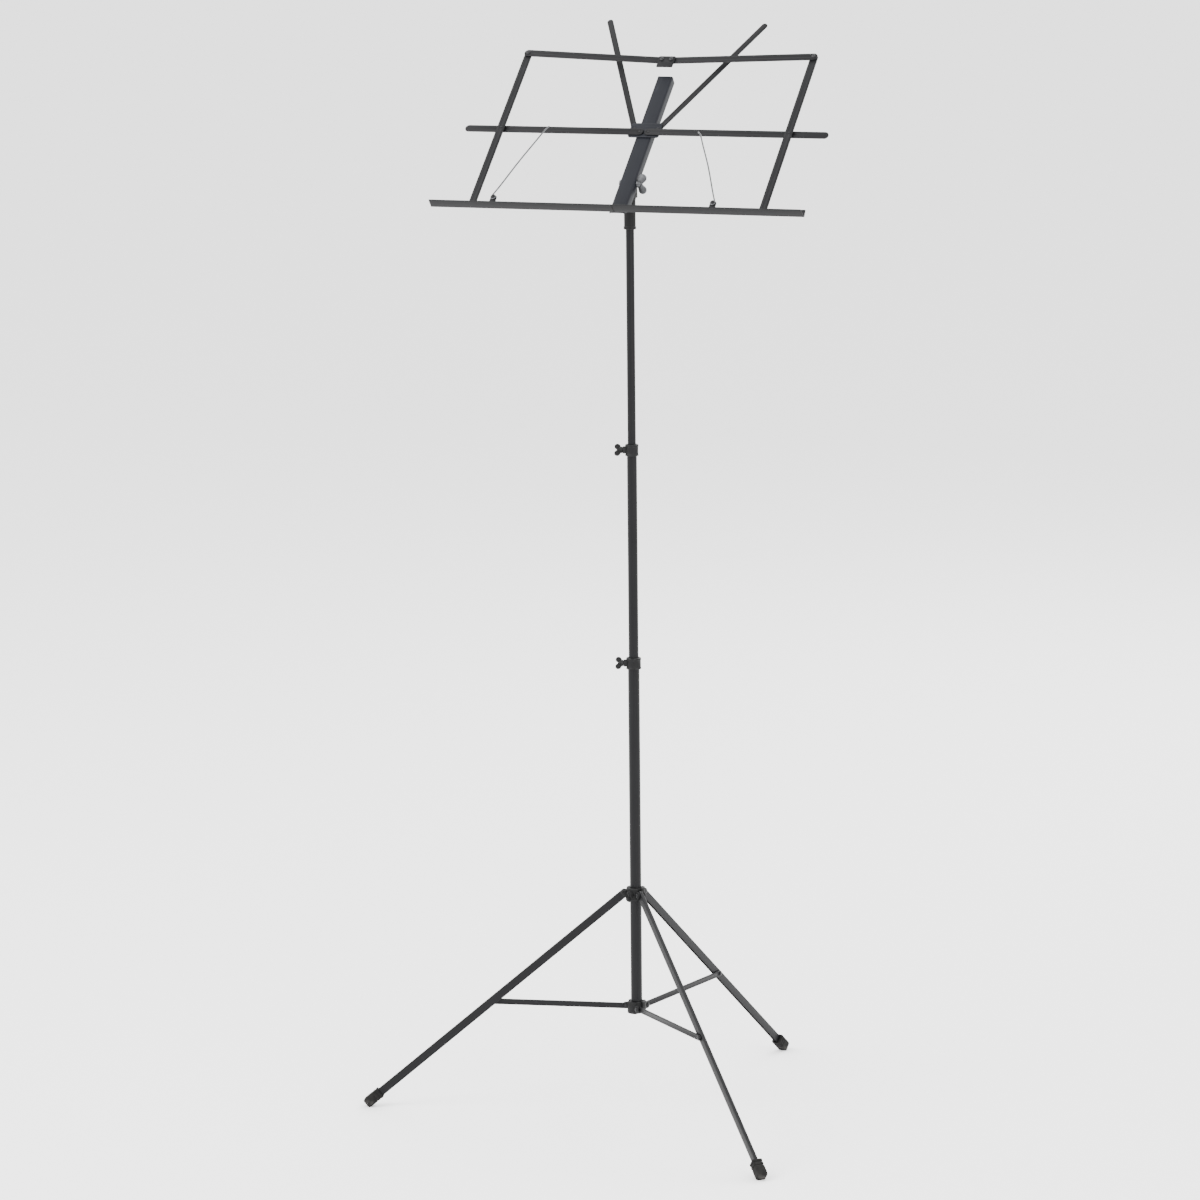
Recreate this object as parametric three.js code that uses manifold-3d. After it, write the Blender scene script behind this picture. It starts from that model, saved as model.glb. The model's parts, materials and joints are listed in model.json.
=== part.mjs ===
// A folding music stand: a tripod that folds along the lowest of three telescoping tubes, and a
// tilting desk of flat steel straps that folds up against its own spine.
// Millimetres, +Z up. The stand is worked out about the pole axis, with the desk facing -Y and its
// ledge along X, and is moved at the end so that the middle of its footprint is at the origin.
import * as THREE from "three";
import { mergeVertices } from "three/addons/utils/BufferGeometryUtils.js";
import Module from "manifold-3d";

const wasm = await Module();
wasm.setup();

// ---- driving dimensions ----

const CLEARANCE = 0.3; // kept between pieces that touch, turn or slide on each other
const FLUSH = 0.05; // a flush rivet ends this far inside its strap
const OVERLAP = 0.5; // how far joined shapes run into each other
const PAST = 1; // how far a cutting shape runs past what it cuts
const degrees = Math.PI / 180;

// telescoping tubes
const TOP_TUBE_RADIUS = 5;
const TUBE_WALL = 0.7;
const LOWER_TUBE_LENGTH = 437;
const MIDDLE_TUBE_LENGTH = 400;
const MIDDLE_TUBE_INSERT = 140;
const TOP_TUBE_LENGTH = 420;
const TOP_TUBE_INSERT = 126;

// clamp collars and their wing screws
const COLLAR_WALL = 1.8;
const COLLAR_HEIGHT = 14;
const COLLAR_LIP = 2.5;
const COLLAR_CHAMFER = 1;
const BOSS_RADIUS = 4.4;
const BOSS_REACH = 2.8;
const SCREW_RADIUS = 2.4;
const WING_SPAN = 8.6; // from the axis to a wing's tip
const TILT_NUT_SPAN = 12;
const WING_LOBE = 0.42; // a wing's round end, as a share of its span
const WING_SWEEP = 0.35; // how far the round end's middle stands above the hub, as a share of it
const WING_THICKNESS = 2.6;
const WING_HUB_RADIUS = 4;
const WING_HUB_LENGTH = 5;
const WING_TURN = 45 * degrees; // how far a screw is turned from where its wings stand upright
const SCREW_HEADING = 200 * degrees;

// tripod
const LEG_LENGTH = 416; // from the hub pivot to the leg's end
const LEG_ANGLE = 50 * degrees; // from the vertical, when spread
const LEG_HEADING = 199 * degrees;
const LEG_DEPTH = 10;
const LEG_WIDTH = 4.6;
const LEG_WALL = 0.9;
const LEG_COUNT = 3;
const STRUT_AT = 216; // down the leg, from the hub pivot
const STRUT_RISE = 3.6; // the strut's outer end above its inner one, when spread
const STRUT_DEPTH = 7;
const STRUT_THICKNESS = 2;
const LEG_NEST_GAP = 0.4; // between a folded leg and the hub's core
const STRUT_GAP = 0.4; // between a leg and the strut beside it
const TUBE_BELOW_PIVOT = 5; // the lower tube's end below the struts' pivots
const HUB_CORE_WALL = 1.3;
const HUB_RING_WALL = 4.2;
const HUB_HEIGHT = 15;
const EAR_THICKNESS = 2.4;
const EAR_INSET = 0.8; // the hub's ears inside the legs' outline
const EAR_MARGIN = 0.6; // the collar's ears outside the struts' outline
const PIVOT_PIN_RADIUS = 1.7;
const CUP_FLOOR = 2;
const FOOT_OVERHANG = 4;
const FOOT_DEPTH = 13;
const FOOT_WIDTH = 9.4;
const FOOT_LENGTH = 23;
const FOOT_CORNER = 2.2;
const FOOT_FLAT = 1.6; // how much of the foot's lower corner is flat on the floor

// tilting head
const DESK_TILT = 44.75 * degrees; // back from the vertical
const BOLT_ABOVE_TUBE = 20.5;
const BOLT_RADIUS = 2.5;
const SOCKET_WALL = 2.2;
const SOCKET_LENGTH = 38;
const SOCKET_TOP = 16; // the sleeve's shoulder below the tilt bolt
const BLOCK_RADIUS = 5; // the tilt block's round top and half its depth
const BOLT_HEAD_RADIUS = 4.4;
const BOLT_HEAD = 2.8;
const BOLT_SIDES = 16;
const NUT_CAP = 1; // what closes the wing nut's bore

// desk, in its own plane: u to the right, w up the desk, n towards the reader
const STRAP_WIDTH = 9.8;
const STRAP_THICKNESS = 1.5;
const RIVET_RADIUS = 1.5;
const RIVET_HEAD_RADIUS = 2.6;
const RIVET_HEAD = 1.4;
const RIVET_DOME = [[1, 0], [1, 0.3], [0.72, 0.82], [0, 1]]; // shares of a head's radius and height
const SHELF_BOTTOM = -5; // w of the ledge's underside
const SHELF_THICKNESS = 1.2;
const SHELF_DEPTH = 14;
const LEDGE_HALF = 240;
const SIDE_BAR_AT = 187;
const ARM_END_GAP = 0.75; // from the arms' round ends to the middle of the desk
const MID_ABOVE_LEDGE = 120;
const MID_HALF = 236;
const TOP_CORNER = 239; // w of the upper corners
const TOP_DROP = 9; // the middle of the top arms below their corners
const TOP_JOINT_AT = 6;
const TOP_PLATE_HALF = 10.5;
const TOP_PLATE_DROP = 12;
const TOP_PLATE_CORNER = 1;
const SPINE_SPARE = 0.35; // between its side flanges and the rivets' heads
const SPINE_WALL = 1.3;
const SPINE_DEPTH = 10.8;
const SPINE_BOTTOM = -1.5;
const SPINE_TOP = 212;
const SPINE_FOOT_CUT = 12; // how far up the side flanges are cut away at the bottom
const BOLT_UP_DESK = 48.5; // w of the tilt bolt
const BOLT_BEHIND_WEB = 5.5;
const CROSS_PLATE_HALF = 20;
const CROSS_PLATE_BELOW = 7.3; // below the arms' pivots
const CROSS_PLATE_HEIGHT = 22;
const CROSS_PLATE_CORNER = 3;
const EXTENSION_AT = 15;
const EXTENSION_ABOVE = 6.7; // above the mid arms' pivots
const EXTENSION_LENGTH = 190;
const EXTENSION_WIDTH = 7.5;
const EXTENSION_LEAN = { right: 28.5 * degrees, left: 26 * degrees };
const WIRE_AT = { right: 128, left: 155 };
const WIRE_RADIUS = 0.9;
const WIRE_EYE_RADIUS = 3.1;
const WIRE_TAB_HALF = 4;
const WIRE_RISE = 110; // height of a page wire's tip above its eye
const WIRE_LEAN_IN = 45; // how far its tip is nearer the middle than its eye
const WIRE_TURN = { right: 2.7 * degrees, left: -2.9 * degrees }; // turned further in on its stud

// roundness of the faceted solids
const TUBE_SIDES = 24;
const PIN_SIDES = 10;
const WING_SIDES = 12;
const ARC_STEPS = 5;

// ---- values that follow ----

const middleTubeRadius = TOP_TUBE_RADIUS + CLEARANCE + TUBE_WALL;
const lowerTubeRadius = middleTubeRadius + CLEARANCE + TUBE_WALL;
const legPitch = (2 * Math.PI) / LEG_COUNT;
const coreRadius = lowerTubeRadius + CLEARANCE + HUB_CORE_WALL;
const ringRadius = lowerTubeRadius + CLEARANCE + HUB_RING_WALL;
const pivotRadius = coreRadius + LEG_NEST_GAP + LEG_DEPTH / 2;
const earReach = LEG_DEPTH / 2 - EAR_INSET;
const legSide = LEG_WIDTH / 2 + CLEARANCE;
const strutSide = LEG_WIDTH / 2 + STRUT_GAP;
const strutFarSide = strutSide + STRUT_THICKNESS + CLEARANCE;

const footRise =
  FOOT_OVERHANG * Math.cos(LEG_ANGLE) + (FOOT_DEPTH / 2) * Math.sin(LEG_ANGLE) - FOOT_FLAT;
const hubHeight = LEG_LENGTH * Math.cos(LEG_ANGLE) + footRise;
const strutPivotHeight = hubHeight - STRUT_AT * Math.cos(LEG_ANGLE) - STRUT_RISE;
const strutSpan = STRUT_AT * Math.sin(LEG_ANGLE);
const strutLength = Math.hypot(strutSpan, STRUT_RISE);
const strutAngle = Math.atan2(STRUT_RISE, strutSpan);

const lowerTubeBottom = strutPivotHeight - TUBE_BELOW_PIVOT;
const lowerTubeTop = lowerTubeBottom + LOWER_TUBE_LENGTH;
const middleTubeTop = lowerTubeTop + MIDDLE_TUBE_LENGTH - MIDDLE_TUBE_INSERT;
const topTubeTop = middleTubeTop + TOP_TUBE_LENGTH - TOP_TUBE_INSERT;
const boltHeight = topTubeTop + BOLT_ABOVE_TUBE;

// the desk's straps lie in layers, each CLEARANCE in front of the one behind
const layerPitch = STRAP_THICKNESS + CLEARANCE;
const sideLayer = -1; // back faces of the layers
const ledgeLayer = sideLayer - layerPitch;
const midLayer = ledgeLayer - layerPitch;
const crossLayer = midLayer - layerPitch;
const extensionLayer = crossLayer - layerPitch;
const topLayer = sideLayer + layerPitch;
const topPlateLayer = topLayer + layerPitch;
const webFront = crossLayer - CLEARANCE;
const webBack = webFront - SPINE_WALL;
const boltBehindDesk = webBack - BOLT_BEHIND_WEB;
const shelfTop = SHELF_BOTTOM + SHELF_THICKNESS;
const ledgePivot = shelfTop + STRAP_WIDTH / 2 + CLEARANCE;
const midPivot = ledgePivot + MID_ABOVE_LEDGE;
const armPivotAt = STRAP_WIDTH / 2 + ARM_END_GAP; // u of the arms' pivots on the spine
const spineWidth = 2 * (armPivotAt + RIVET_HEAD_RADIUS + SPINE_SPARE + SPINE_WALL);
const armLength = SIDE_BAR_AT - armPivotAt;
const blockHalf = spineWidth / 2 - SPINE_WALL - CLEARANCE;
const topReach = SIDE_BAR_AT - TOP_JOINT_AT;

// ---- materials ----

const finish = (color, roughness, metalness) =>
  new THREE.MeshStandardMaterial({ color, roughness, metalness });
const FINISHES = {
  tube: [0x17181a, 0.42, 0.55],
  strap: [0x1b1c1f, 0.48, 0.5],
  spine: [0x26282d, 0.45, 0.5],
  moulding: [0x141416, 0.6, 0.0],
  rubber: [0x101011, 0.85, 0.0],
  zinc: [0x7d8084, 0.4, 0.9],
  wire: [0xb9bcc0, 0.3, 1.0],
};

// ---- small helpers ----

function toSolid(geometry) {
  const bare = geometry.clone();
  bare.deleteAttribute("normal");
  bare.deleteAttribute("uv");
  const merged = mergeVertices(bare, 1e-4);
  return new wasm.Manifold(
    new wasm.Mesh({
      numProp: 3,
      vertProperties: merged.attributes.position.array,
      triVerts: new Uint32Array(merged.index.array),
    }),
  );
}

function toGeometry(solid) {
  const { vertProperties, triVerts } = solid.getMesh();
  const geometry = new THREE.BufferGeometry();
  geometry.setAttribute("position", new THREE.BufferAttribute(vertProperties, 3));
  geometry.setIndex(new THREE.BufferAttribute(triVerts, 1));
  geometry.computeVertexNormals();
  return geometry;
}

const join = (...parts) => toGeometry(parts.map(toSolid).reduce((whole, part) => whole.add(part)));

const cut = (part, ...tools) =>
  toGeometry(tools.map(toSolid).reduce((left, tool) => left.subtract(tool), toSolid(part)));

const block = (x, y, z) =>
  new THREE.BoxGeometry(x[1] - x[0], y[1] - y[0], z[1] - z[0]).translate(
    (x[0] + x[1]) / 2,
    (y[0] + y[1]) / 2,
    (z[0] + z[1]) / 2,
  );

// a round bar along Z
const bar = (radius, from, to, sides = PIN_SIDES) =>
  new THREE.CylinderGeometry(radius, radius, to - from, sides)
    .rotateX(Math.PI / 2)
    .translate(0, 0, (from + to) / 2);

// a body of revolution about Z, from points of radius and height
const turned = (points, sides = PIN_SIDES) =>
  new THREE.LatheGeometry(
    points.map(([radius, height]) => new THREE.Vector2(radius, height)),
    sides,
  ).rotateX(Math.PI / 2);

const pipe = (outer, inner, from, to, sides = TUBE_SIDES) =>
  turned([[inner, from], [outer, from], [outer, to], [inner, to], [inner, from]], sides);

// a flat plate in the XY plane, between two heights
const plate = (shape, from, to) =>
  new THREE.ExtrudeGeometry(shape, {
    depth: to - from,
    bevelEnabled: false,
    curveSegments: ARC_STEPS,
  }).translate(0, 0, from);

function addHole(shape, x, y, radius) {
  const hole = new THREE.Path();
  hole.absarc(x, y, radius, 0, 2 * Math.PI, true);
  shape.holes.push(hole);
}

// a rectangle between two x and two y, with round corners
function roundedShape([left, right], [low, high], corner) {
  const shape = new THREE.Shape();
  const quarter = Math.PI / 2;
  shape.absarc(right - corner, high - corner, corner, 0, quarter, false);
  shape.absarc(left + corner, high - corner, corner, quarter, 2 * quarter, false);
  shape.absarc(left + corner, low + corner, corner, 2 * quarter, 3 * quarter, false);
  shape.absarc(right - corner, low + corner, corner, 3 * quarter, 4 * quarter, false);
  shape.closePath();
  return shape;
}

// a strap's outline along +X: round ends about x = 0 and x = length, with holes along it
function strapShape(length, width, holesAt, holeRadius) {
  const half = width / 2;
  const shape = new THREE.Shape();
  shape.absarc(0, 0, half, Math.PI / 2, (3 * Math.PI) / 2, false);
  shape.absarc(length, 0, half, -Math.PI / 2, Math.PI / 2, false);
  shape.closePath();
  holesAt.forEach((x) => addHole(shape, x, 0, holeRadius));
  return shape;
}

// a rivet along Z whose shank runs between two heights, with the domed heads it is asked for; a
// shoulder is a wider stretch of the shank: its lower and upper height and its radius
function rivet(from, to, { radius = RIVET_RADIUS, front = true, back = false, shoulder } = {}) {
  const head = (height, way) =>
    RIVET_DOME.map(([across, up]) => [across * RIVET_HEAD_RADIUS, height + way * up * RIVET_HEAD]);
  const points = back ? head(from, -1).reverse() : [[0, from]];
  points.push([radius, from]);
  if (shoulder) {
    const [low, high, wide] = shoulder;
    points.push([radius, low], [wide, low], [wide, high], [radius, high]);
  }
  points.push([radius, to]);
  points.push(...(front ? head(to, 1) : [[0, to]]));
  return turned(points);
}

const stand = new THREE.Group();

function add(parent, name, kind, geometry) {
  const mesh = new THREE.Mesh(geometry, finish(...FINISHES[kind]));
  mesh.name = name;
  parent.add(mesh);
  return mesh;
}

function groupAt(parent, position, rotation = [0, 0, 0]) {
  const group = new THREE.Group();
  group.position.set(...position);
  group.rotation.set(...rotation);
  parent.add(group);
  return group;
}

// ---- wing screws ----

// two round wings and a hub on a shank that runs up Z from height 0 to the hub
function wingScrew(shankLength, span = WING_SPAN) {
  const lobe = span * WING_LOBE;
  const lobeHeight = shankLength + WING_HUB_LENGTH + lobe * WING_SWEEP;
  const half = WING_THICKNESS / 2;
  const wing = (side) =>
    bar(lobe, -half, half, WING_SIDES)
      .rotateX(Math.PI / 2)
      .translate(side * (span - lobe), 0, lobeHeight);
  return join(
    bar(SCREW_RADIUS, 0, shankLength + OVERLAP),
    bar(WING_HUB_RADIUS, shankLength, shankLength + WING_HUB_LENGTH, WING_SIDES),
    block([lobe - span, span - lobe], [-half, half], [shankLength + WING_HUB_LENGTH / 4, lobeHeight]),
    wing(-1),
    wing(1),
  );
}

// a screw hole along +X from the pole axis
const screwHole = (height, reach) =>
  bar(SCREW_RADIUS + CLEARANCE, 0, reach).rotateY(Math.PI / 2).translate(0, 0, height);

// a wing screw that bears on a tube, its shank crossing from the tube's surface to the boss's end
function addWingScrew(parent, name, heading, height, tubeRadius, bossEnd) {
  const tip = tubeRadius + CLEARANCE;
  const holder = groupAt(parent, [0, 0, height], [0, 0, heading]);
  const solid = wingScrew(bossEnd + CLEARANCE - tip).rotateZ(WING_TURN);
  const screw = add(holder, name, "moulding", solid);
  screw.position.x = tip;
  screw.rotation.y = Math.PI / 2;
}

// ---- tubes and clamp collars ----

const collarHeightOf = (tubeTop) => tubeTop + COLLAR_LIP - COLLAR_HEIGHT / 2;

// a tube whose clamp screw reaches the next tube through a hole near its top
function clampedTube(radius, from, to) {
  const hole = screwHole(collarHeightOf(to), radius + PAST).rotateZ(SCREW_HEADING);
  return cut(pipe(radius, radius - TUBE_WALL, from, to), hole);
}

const collarRadius = (tubeRadius) => tubeRadius + CLEARANCE + COLLAR_WALL;

function clampCollar(tubeRadius, tubeTop) {
  const bore = tubeRadius + CLEARANCE;
  const outer = collarRadius(tubeRadius);
  const neck = tubeRadius - TUBE_WALL;
  const top = tubeTop + COLLAR_LIP;
  const bottom = top - COLLAR_HEIGHT;
  const shoulder = tubeTop + CLEARANCE;
  const height = collarHeightOf(tubeTop);
  const sleeve = turned(
    [[bore, bottom], [outer, bottom], [outer, top - COLLAR_CHAMFER], [outer - COLLAR_CHAMFER, top],
      [neck, top], [neck, shoulder], [bore, shoulder], [bore, bottom]],
    TUBE_SIDES,
  );
  const boss = cut(
    bar(BOSS_RADIUS, 0, outer + BOSS_REACH, WING_SIDES).rotateY(Math.PI / 2).translate(0, 0, height),
    bar(bore + COLLAR_WALL / 2, bottom - PAST, top + PAST, TUBE_SIDES),
  ).rotateZ(SCREW_HEADING);
  const hole = screwHole(height, outer + BOSS_REACH + PAST).rotateZ(SCREW_HEADING);
  return cut(join(sleeve, boss), hole);
}

function addPole() {
  const lowest = lowerTubeTop - MIDDLE_TUBE_INSERT;
  const topTubeBottom = middleTubeTop - TOP_TUBE_INSERT;
  add(stand, "lower_tube", "tube", clampedTube(lowerTubeRadius, lowerTubeBottom, lowerTubeTop));
  add(stand, "middle_tube", "tube", clampedTube(middleTubeRadius, lowest, middleTubeTop));
  const topBore = TOP_TUBE_RADIUS - TUBE_WALL;
  add(stand, "top_tube", "tube", pipe(TOP_TUBE_RADIUS, topBore, topTubeBottom, topTubeTop));
  const clamps = [
    ["lower", lowerTubeRadius, lowerTubeTop, middleTubeRadius],
    ["upper", middleTubeRadius, middleTubeTop, TOP_TUBE_RADIUS],
  ];
  for (const [level, tubeRadius, tubeTop, innerRadius] of clamps) {
    add(stand, `${level}_clamp_collar`, "moulding", clampCollar(tubeRadius, tubeTop));
    const bossEnd = collarRadius(tubeRadius) + BOSS_REACH;
    const height = collarHeightOf(tubeTop);
    addWingScrew(stand, `${level}_wing_screw`, SCREW_HEADING, height, innerRadius, bossEnd);
  }
}

// ---- tripod ----
// Side views below are drawn with x outwards from the pole and y up, and thickness along z.

const headingOf = (leg) => LEG_HEADING + leg * legPitch;

const slotReach = pivotRadius + LEG_DEPTH; // past the ears

// turns a side view upright: x stays outwards, y goes up, z goes to one side
const upright = (geometry) => geometry.rotateX(Math.PI / 2);

// an ear from inside the ring out past the pivot, between two side positions
function ear(from, to, reach) {
  const shape = new THREE.Shape();
  shape.moveTo(coreRadius - HUB_CORE_WALL / 2, -reach);
  shape.lineTo(pivotRadius, -reach);
  shape.absarc(pivotRadius, 0, reach, -Math.PI / 2, Math.PI / 2, false);
  shape.lineTo(coreRadius - HUB_CORE_WALL / 2, reach);
  shape.closePath();
  addHole(shape, pivotRadius, 0, PIVOT_PIN_RADIUS + CLEARANCE);
  return upright(plate(shape, from, to));
}

function legHub() {
  const half = HUB_HEIGHT / 2;
  const ring = bar(ringRadius, -half, half, TUBE_SIDES);
  const boss = bar(BOSS_RADIUS, 0, ringRadius + BOSS_REACH, WING_SIDES).rotateY(Math.PI / 2);
  const bossHeading = LEG_HEADING + legPitch / 2;
  const ears = [];
  const slots = [];
  for (let leg = 0; leg < LEG_COUNT; leg++) {
    const turn = (geometry) => geometry.rotateZ(headingOf(leg));
    ears.push(turn(ear(legSide, legSide + EAR_THICKNESS, earReach)));
    ears.push(turn(ear(-legSide - EAR_THICKNESS, -legSide, earReach)));
    slots.push(turn(block([coreRadius, slotReach], [-legSide, legSide], [-half - PAST, half + PAST])));
  }
  return cut(
    join(ring, boss.rotateZ(bossHeading), ...ears),
    ...slots,
    bar(lowerTubeRadius + CLEARANCE, -half - PAST, half + PAST, TUBE_SIDES),
    screwHole(0, ringRadius + BOSS_REACH + PAST).rotateZ(bossHeading),
  );
}

// the cup on the tube's foot, which carries the struts and stays clear of the folded legs
function strutCollar() {
  const seat = -TUBE_BELOW_PIVOT - CLEARANCE;
  const low = seat - CUP_FLOOR;
  const high = HUB_HEIGHT / 2;
  const ring = bar(ringRadius, low, high, TUBE_SIDES);
  const ears = [];
  const slots = [];
  for (let leg = 0; leg < LEG_COUNT; leg++) {
    const turn = (geometry) => geometry.rotateZ(headingOf(leg));
    // a side view's z goes to -Y, so the strut's side is the -Y side here
    ears.push(turn(ear(strutFarSide, strutFarSide + EAR_THICKNESS, STRUT_DEPTH / 2 + EAR_MARGIN)));
    slots.push(turn(block([coreRadius, slotReach], [-strutFarSide, legSide], [low - PAST, high + PAST])));
  }
  return cut(
    join(ring, ...ears),
    ...slots,
    bar(lowerTubeRadius + CLEARANCE, seat, high + PAST, TUBE_SIDES),
  );
}

// a channel that opens downwards, round at its top end
function legChannel() {
  const side = strapShape(LEG_LENGTH, LEG_DEPTH, [0], PIVOT_PIN_RADIUS + CLEARANCE);
  const half = LEG_WIDTH / 2;
  const inner = half - LEG_WALL;
  const below = -LEG_DEPTH / 2 - PAST;
  const web = LEG_DEPTH / 2 - LEG_WALL;
  return cut(
    plate(side, -half, half),
    block([-LEG_DEPTH, LEG_LENGTH + LEG_DEPTH], [below, web], [-inner, inner]),
    block([LEG_LENGTH, LEG_LENGTH + LEG_DEPTH], [below, LEG_DEPTH], [-half - PAST, half + PAST]),
  );
}

// a boot over the leg's end, cut flat where it stands on the floor
function foot() {
  const end = LEG_LENGTH + FOOT_OVERHANG;
  const start = end - FOOT_LENGTH;
  const [w, h] = [FOOT_WIDTH / 2, FOOT_DEPTH / 2];
  const boot = plate(roundedShape([-w, w], [-h, h], FOOT_CORNER), start, end)
    .rotateZ(Math.PI / 2)
    .rotateY(Math.PI / 2);
  // the leg runs down at LEG_ANGLE, so the floor crosses its side view at a slant
  const reach = FOOT_LENGTH + FOOT_DEPTH;
  const floor = block([-reach, reach], [-reach, 0], [-reach, reach])
    .rotateZ(Math.PI / 2 - LEG_ANGLE)
    .translate(LEG_LENGTH + footRise * Math.cos(LEG_ANGLE), -footRise * Math.sin(LEG_ANGLE), 0);
  const [y, z] = [LEG_DEPTH / 2 + CLEARANCE, LEG_WIDTH / 2 + CLEARANCE];
  const pocket = block([start - PAST, LEG_LENGTH + CLEARANCE], [-y, y], [-z, z]);
  return cut(boot, floor, pocket);
}

function addTripod() {
  const hub = groupAt(stand, [0, 0, hubHeight]);
  const collar = groupAt(stand, [0, 0, strutPivotHeight]);
  add(hub, "leg_hub", "moulding", legHub());
  add(collar, "strut_collar", "moulding", strutCollar());
  const bossHeading = LEG_HEADING + legPitch / 2;
  const bossEnd = ringRadius + BOSS_REACH;
  addWingScrew(hub, "hub_wing_screw", bossHeading, 0, lowerTubeRadius, bossEnd);

  const pin = { radius: PIVOT_PIN_RADIUS, front: true };
  const earEnd = legSide + EAR_THICKNESS + CLEARANCE;
  const strutEarEnd = strutFarSide + EAR_THICKNESS + CLEARANCE;
  const strutHole = PIVOT_PIN_RADIUS + CLEARANCE;
  for (let leg = 0; leg < LEG_COUNT; leg++) {
    const number = leg + 1;
    const place = [pivotRadius, 0, 0];
    const facing = [0, 0, headingOf(leg)];
    const sideOn = [Math.PI / 2, 0, 0];
    const atHub = groupAt(groupAt(hub, [0, 0, 0], facing), place, sideOn);
    const swung = groupAt(atHub, [0, 0, 0], [0, 0, LEG_ANGLE - Math.PI / 2]);
    add(atHub, `leg_pin_${number}`, "zinc", rivet(-earEnd, earEnd, { ...pin, back: true }));
    add(swung, `leg_${number}`, "strap", legChannel());
    add(swung, `foot_${number}`, "rubber", foot());

    const atCollar = groupAt(groupAt(collar, [0, 0, 0], facing), place, sideOn);
    const raised = groupAt(atCollar, [0, 0, 0], [0, 0, strutAngle]);
    const strut = plate(
      strapShape(strutLength, STRUT_DEPTH, [0, strutLength], strutHole),
      strutSide,
      strutSide + STRUT_THICKNESS,
    );
    add(atCollar, `strut_pin_${number}`, "zinc", rivet(strutSide + FLUSH, strutEarEnd, pin));
    add(raised, `strut_${number}`, "strap", strut);
    const outer = rivet(strutSide + FLUSH, strutFarSide, pin).translate(strutLength, 0, 0);
    add(raised, `strut_rivet_${number}`, "zinc", outer);
  }
}

// ---- tilting head ----

function deskSocket() {
  const outer = TOP_TUBE_RADIUS + CLEARANCE + SOCKET_WALL;
  const shoulder = boltHeight - SOCKET_TOP;
  const low = shoulder - SOCKET_LENGTH;
  const side = new THREE.Shape();
  const foot = -SOCKET_TOP - OVERLAP;
  side.moveTo(-BLOCK_RADIUS, foot);
  side.lineTo(BLOCK_RADIUS, foot);
  side.lineTo(BLOCK_RADIUS, 0);
  side.absarc(0, 0, BLOCK_RADIUS, 0, Math.PI, false);
  side.closePath();
  addHole(side, 0, 0, BOLT_RADIUS + CLEARANCE);
  // the plate's x and y become the stand's Y and Z
  const tongue = plate(side, -blockHalf, blockHalf)
    .rotateX(Math.PI / 2)
    .rotateZ(Math.PI / 2)
    .translate(0, 0, boltHeight);
  return cut(
    join(bar(outer, low, shoulder, TUBE_SIDES), tongue),
    bar(TOP_TUBE_RADIUS + CLEARANCE, low - PAST, topTubeTop + CLEARANCE, TUBE_SIDES),
  );
}

function tiltWingNut() {
  const bore = bar(BOLT_RADIUS + CLEARANCE, -PAST, WING_HUB_LENGTH - NUT_CAP, BOLT_SIDES);
  const nut = cut(wingScrew(0, TILT_NUT_SPAN), bore);
  return nut.rotateY(Math.PI / 2).translate(spineWidth / 2 + CLEARANCE, 0, 0);
}

function tiltBolt() {
  const side = spineWidth / 2 + CLEARANCE;
  const end = side + WING_HUB_LENGTH - NUT_CAP - PAST;
  const shank = bar(BOLT_RADIUS, -side - OVERLAP, end, BOLT_SIDES);
  return join(shank, bar(BOLT_HEAD_RADIUS, -side - BOLT_HEAD, -side, BOLT_SIDES)).rotateY(Math.PI / 2);
}

// ---- desk ----
// Straps are drawn in the desk's own plane: x is u, y is w and z is n. The left half is the right
// half mirrored.

const strapHole = RIVET_RADIUS + CLEARANCE;

function spine() {
  const half = spineWidth / 2;
  const back = webFront - SPINE_DEPTH;
  const inner = half - SPINE_WALL;
  const w = [SPINE_BOTTOM, SPINE_TOP];
  const pivotHole = (side, height) =>
    bar(strapHole, webBack - PAST, webFront + PAST).translate(side * armPivotAt, height, 0);
  const pivotHoles = [ledgePivot, midPivot].flatMap((height) => [
    pivotHole(-1, height),
    pivotHole(1, height),
  ]);
  const boltHole = bar(BOLT_RADIUS + CLEARANCE, -half - PAST, half + PAST, BOLT_SIDES)
    .rotateY(Math.PI / 2)
    .translate(0, BOLT_UP_DESK, boltBehindDesk);
  const corner = new THREE.Shape();
  corner.moveTo(webBack, SPINE_BOTTOM - PAST);
  corner.lineTo(back - PAST, SPINE_BOTTOM + SPINE_FOOT_CUT);
  corner.lineTo(back - PAST, SPINE_BOTTOM - PAST);
  corner.closePath();
  // the plate's x and z become the desk's n and u
  const footCut = plate(corner, -half - PAST, half + PAST).rotateY(-Math.PI / 2);
  return cut(
    block([-half, half], w, [back, webFront]),
    block([-inner, inner], [w[0] - PAST, w[1] + PAST], [back - PAST, webBack]),
    footCut,
    boltHole,
    ...pivotHoles,
  );
}

function crossPlate() {
  const low = midPivot - CROSS_PLATE_BELOW;
  const across = [-CROSS_PLATE_HALF, CROSS_PLATE_HALF];
  const shape = roundedShape(across, [low, low + CROSS_PLATE_HEIGHT], CROSS_PLATE_CORNER);
  for (const side of [-1, 1]) {
    addHole(shape, side * armPivotAt, midPivot, strapHole);
    addHole(shape, side * EXTENSION_AT, midPivot + EXTENSION_ABOVE, strapHole);
  }
  return plate(shape, crossLayer, crossLayer + STRAP_THICKNESS);
}

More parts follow.
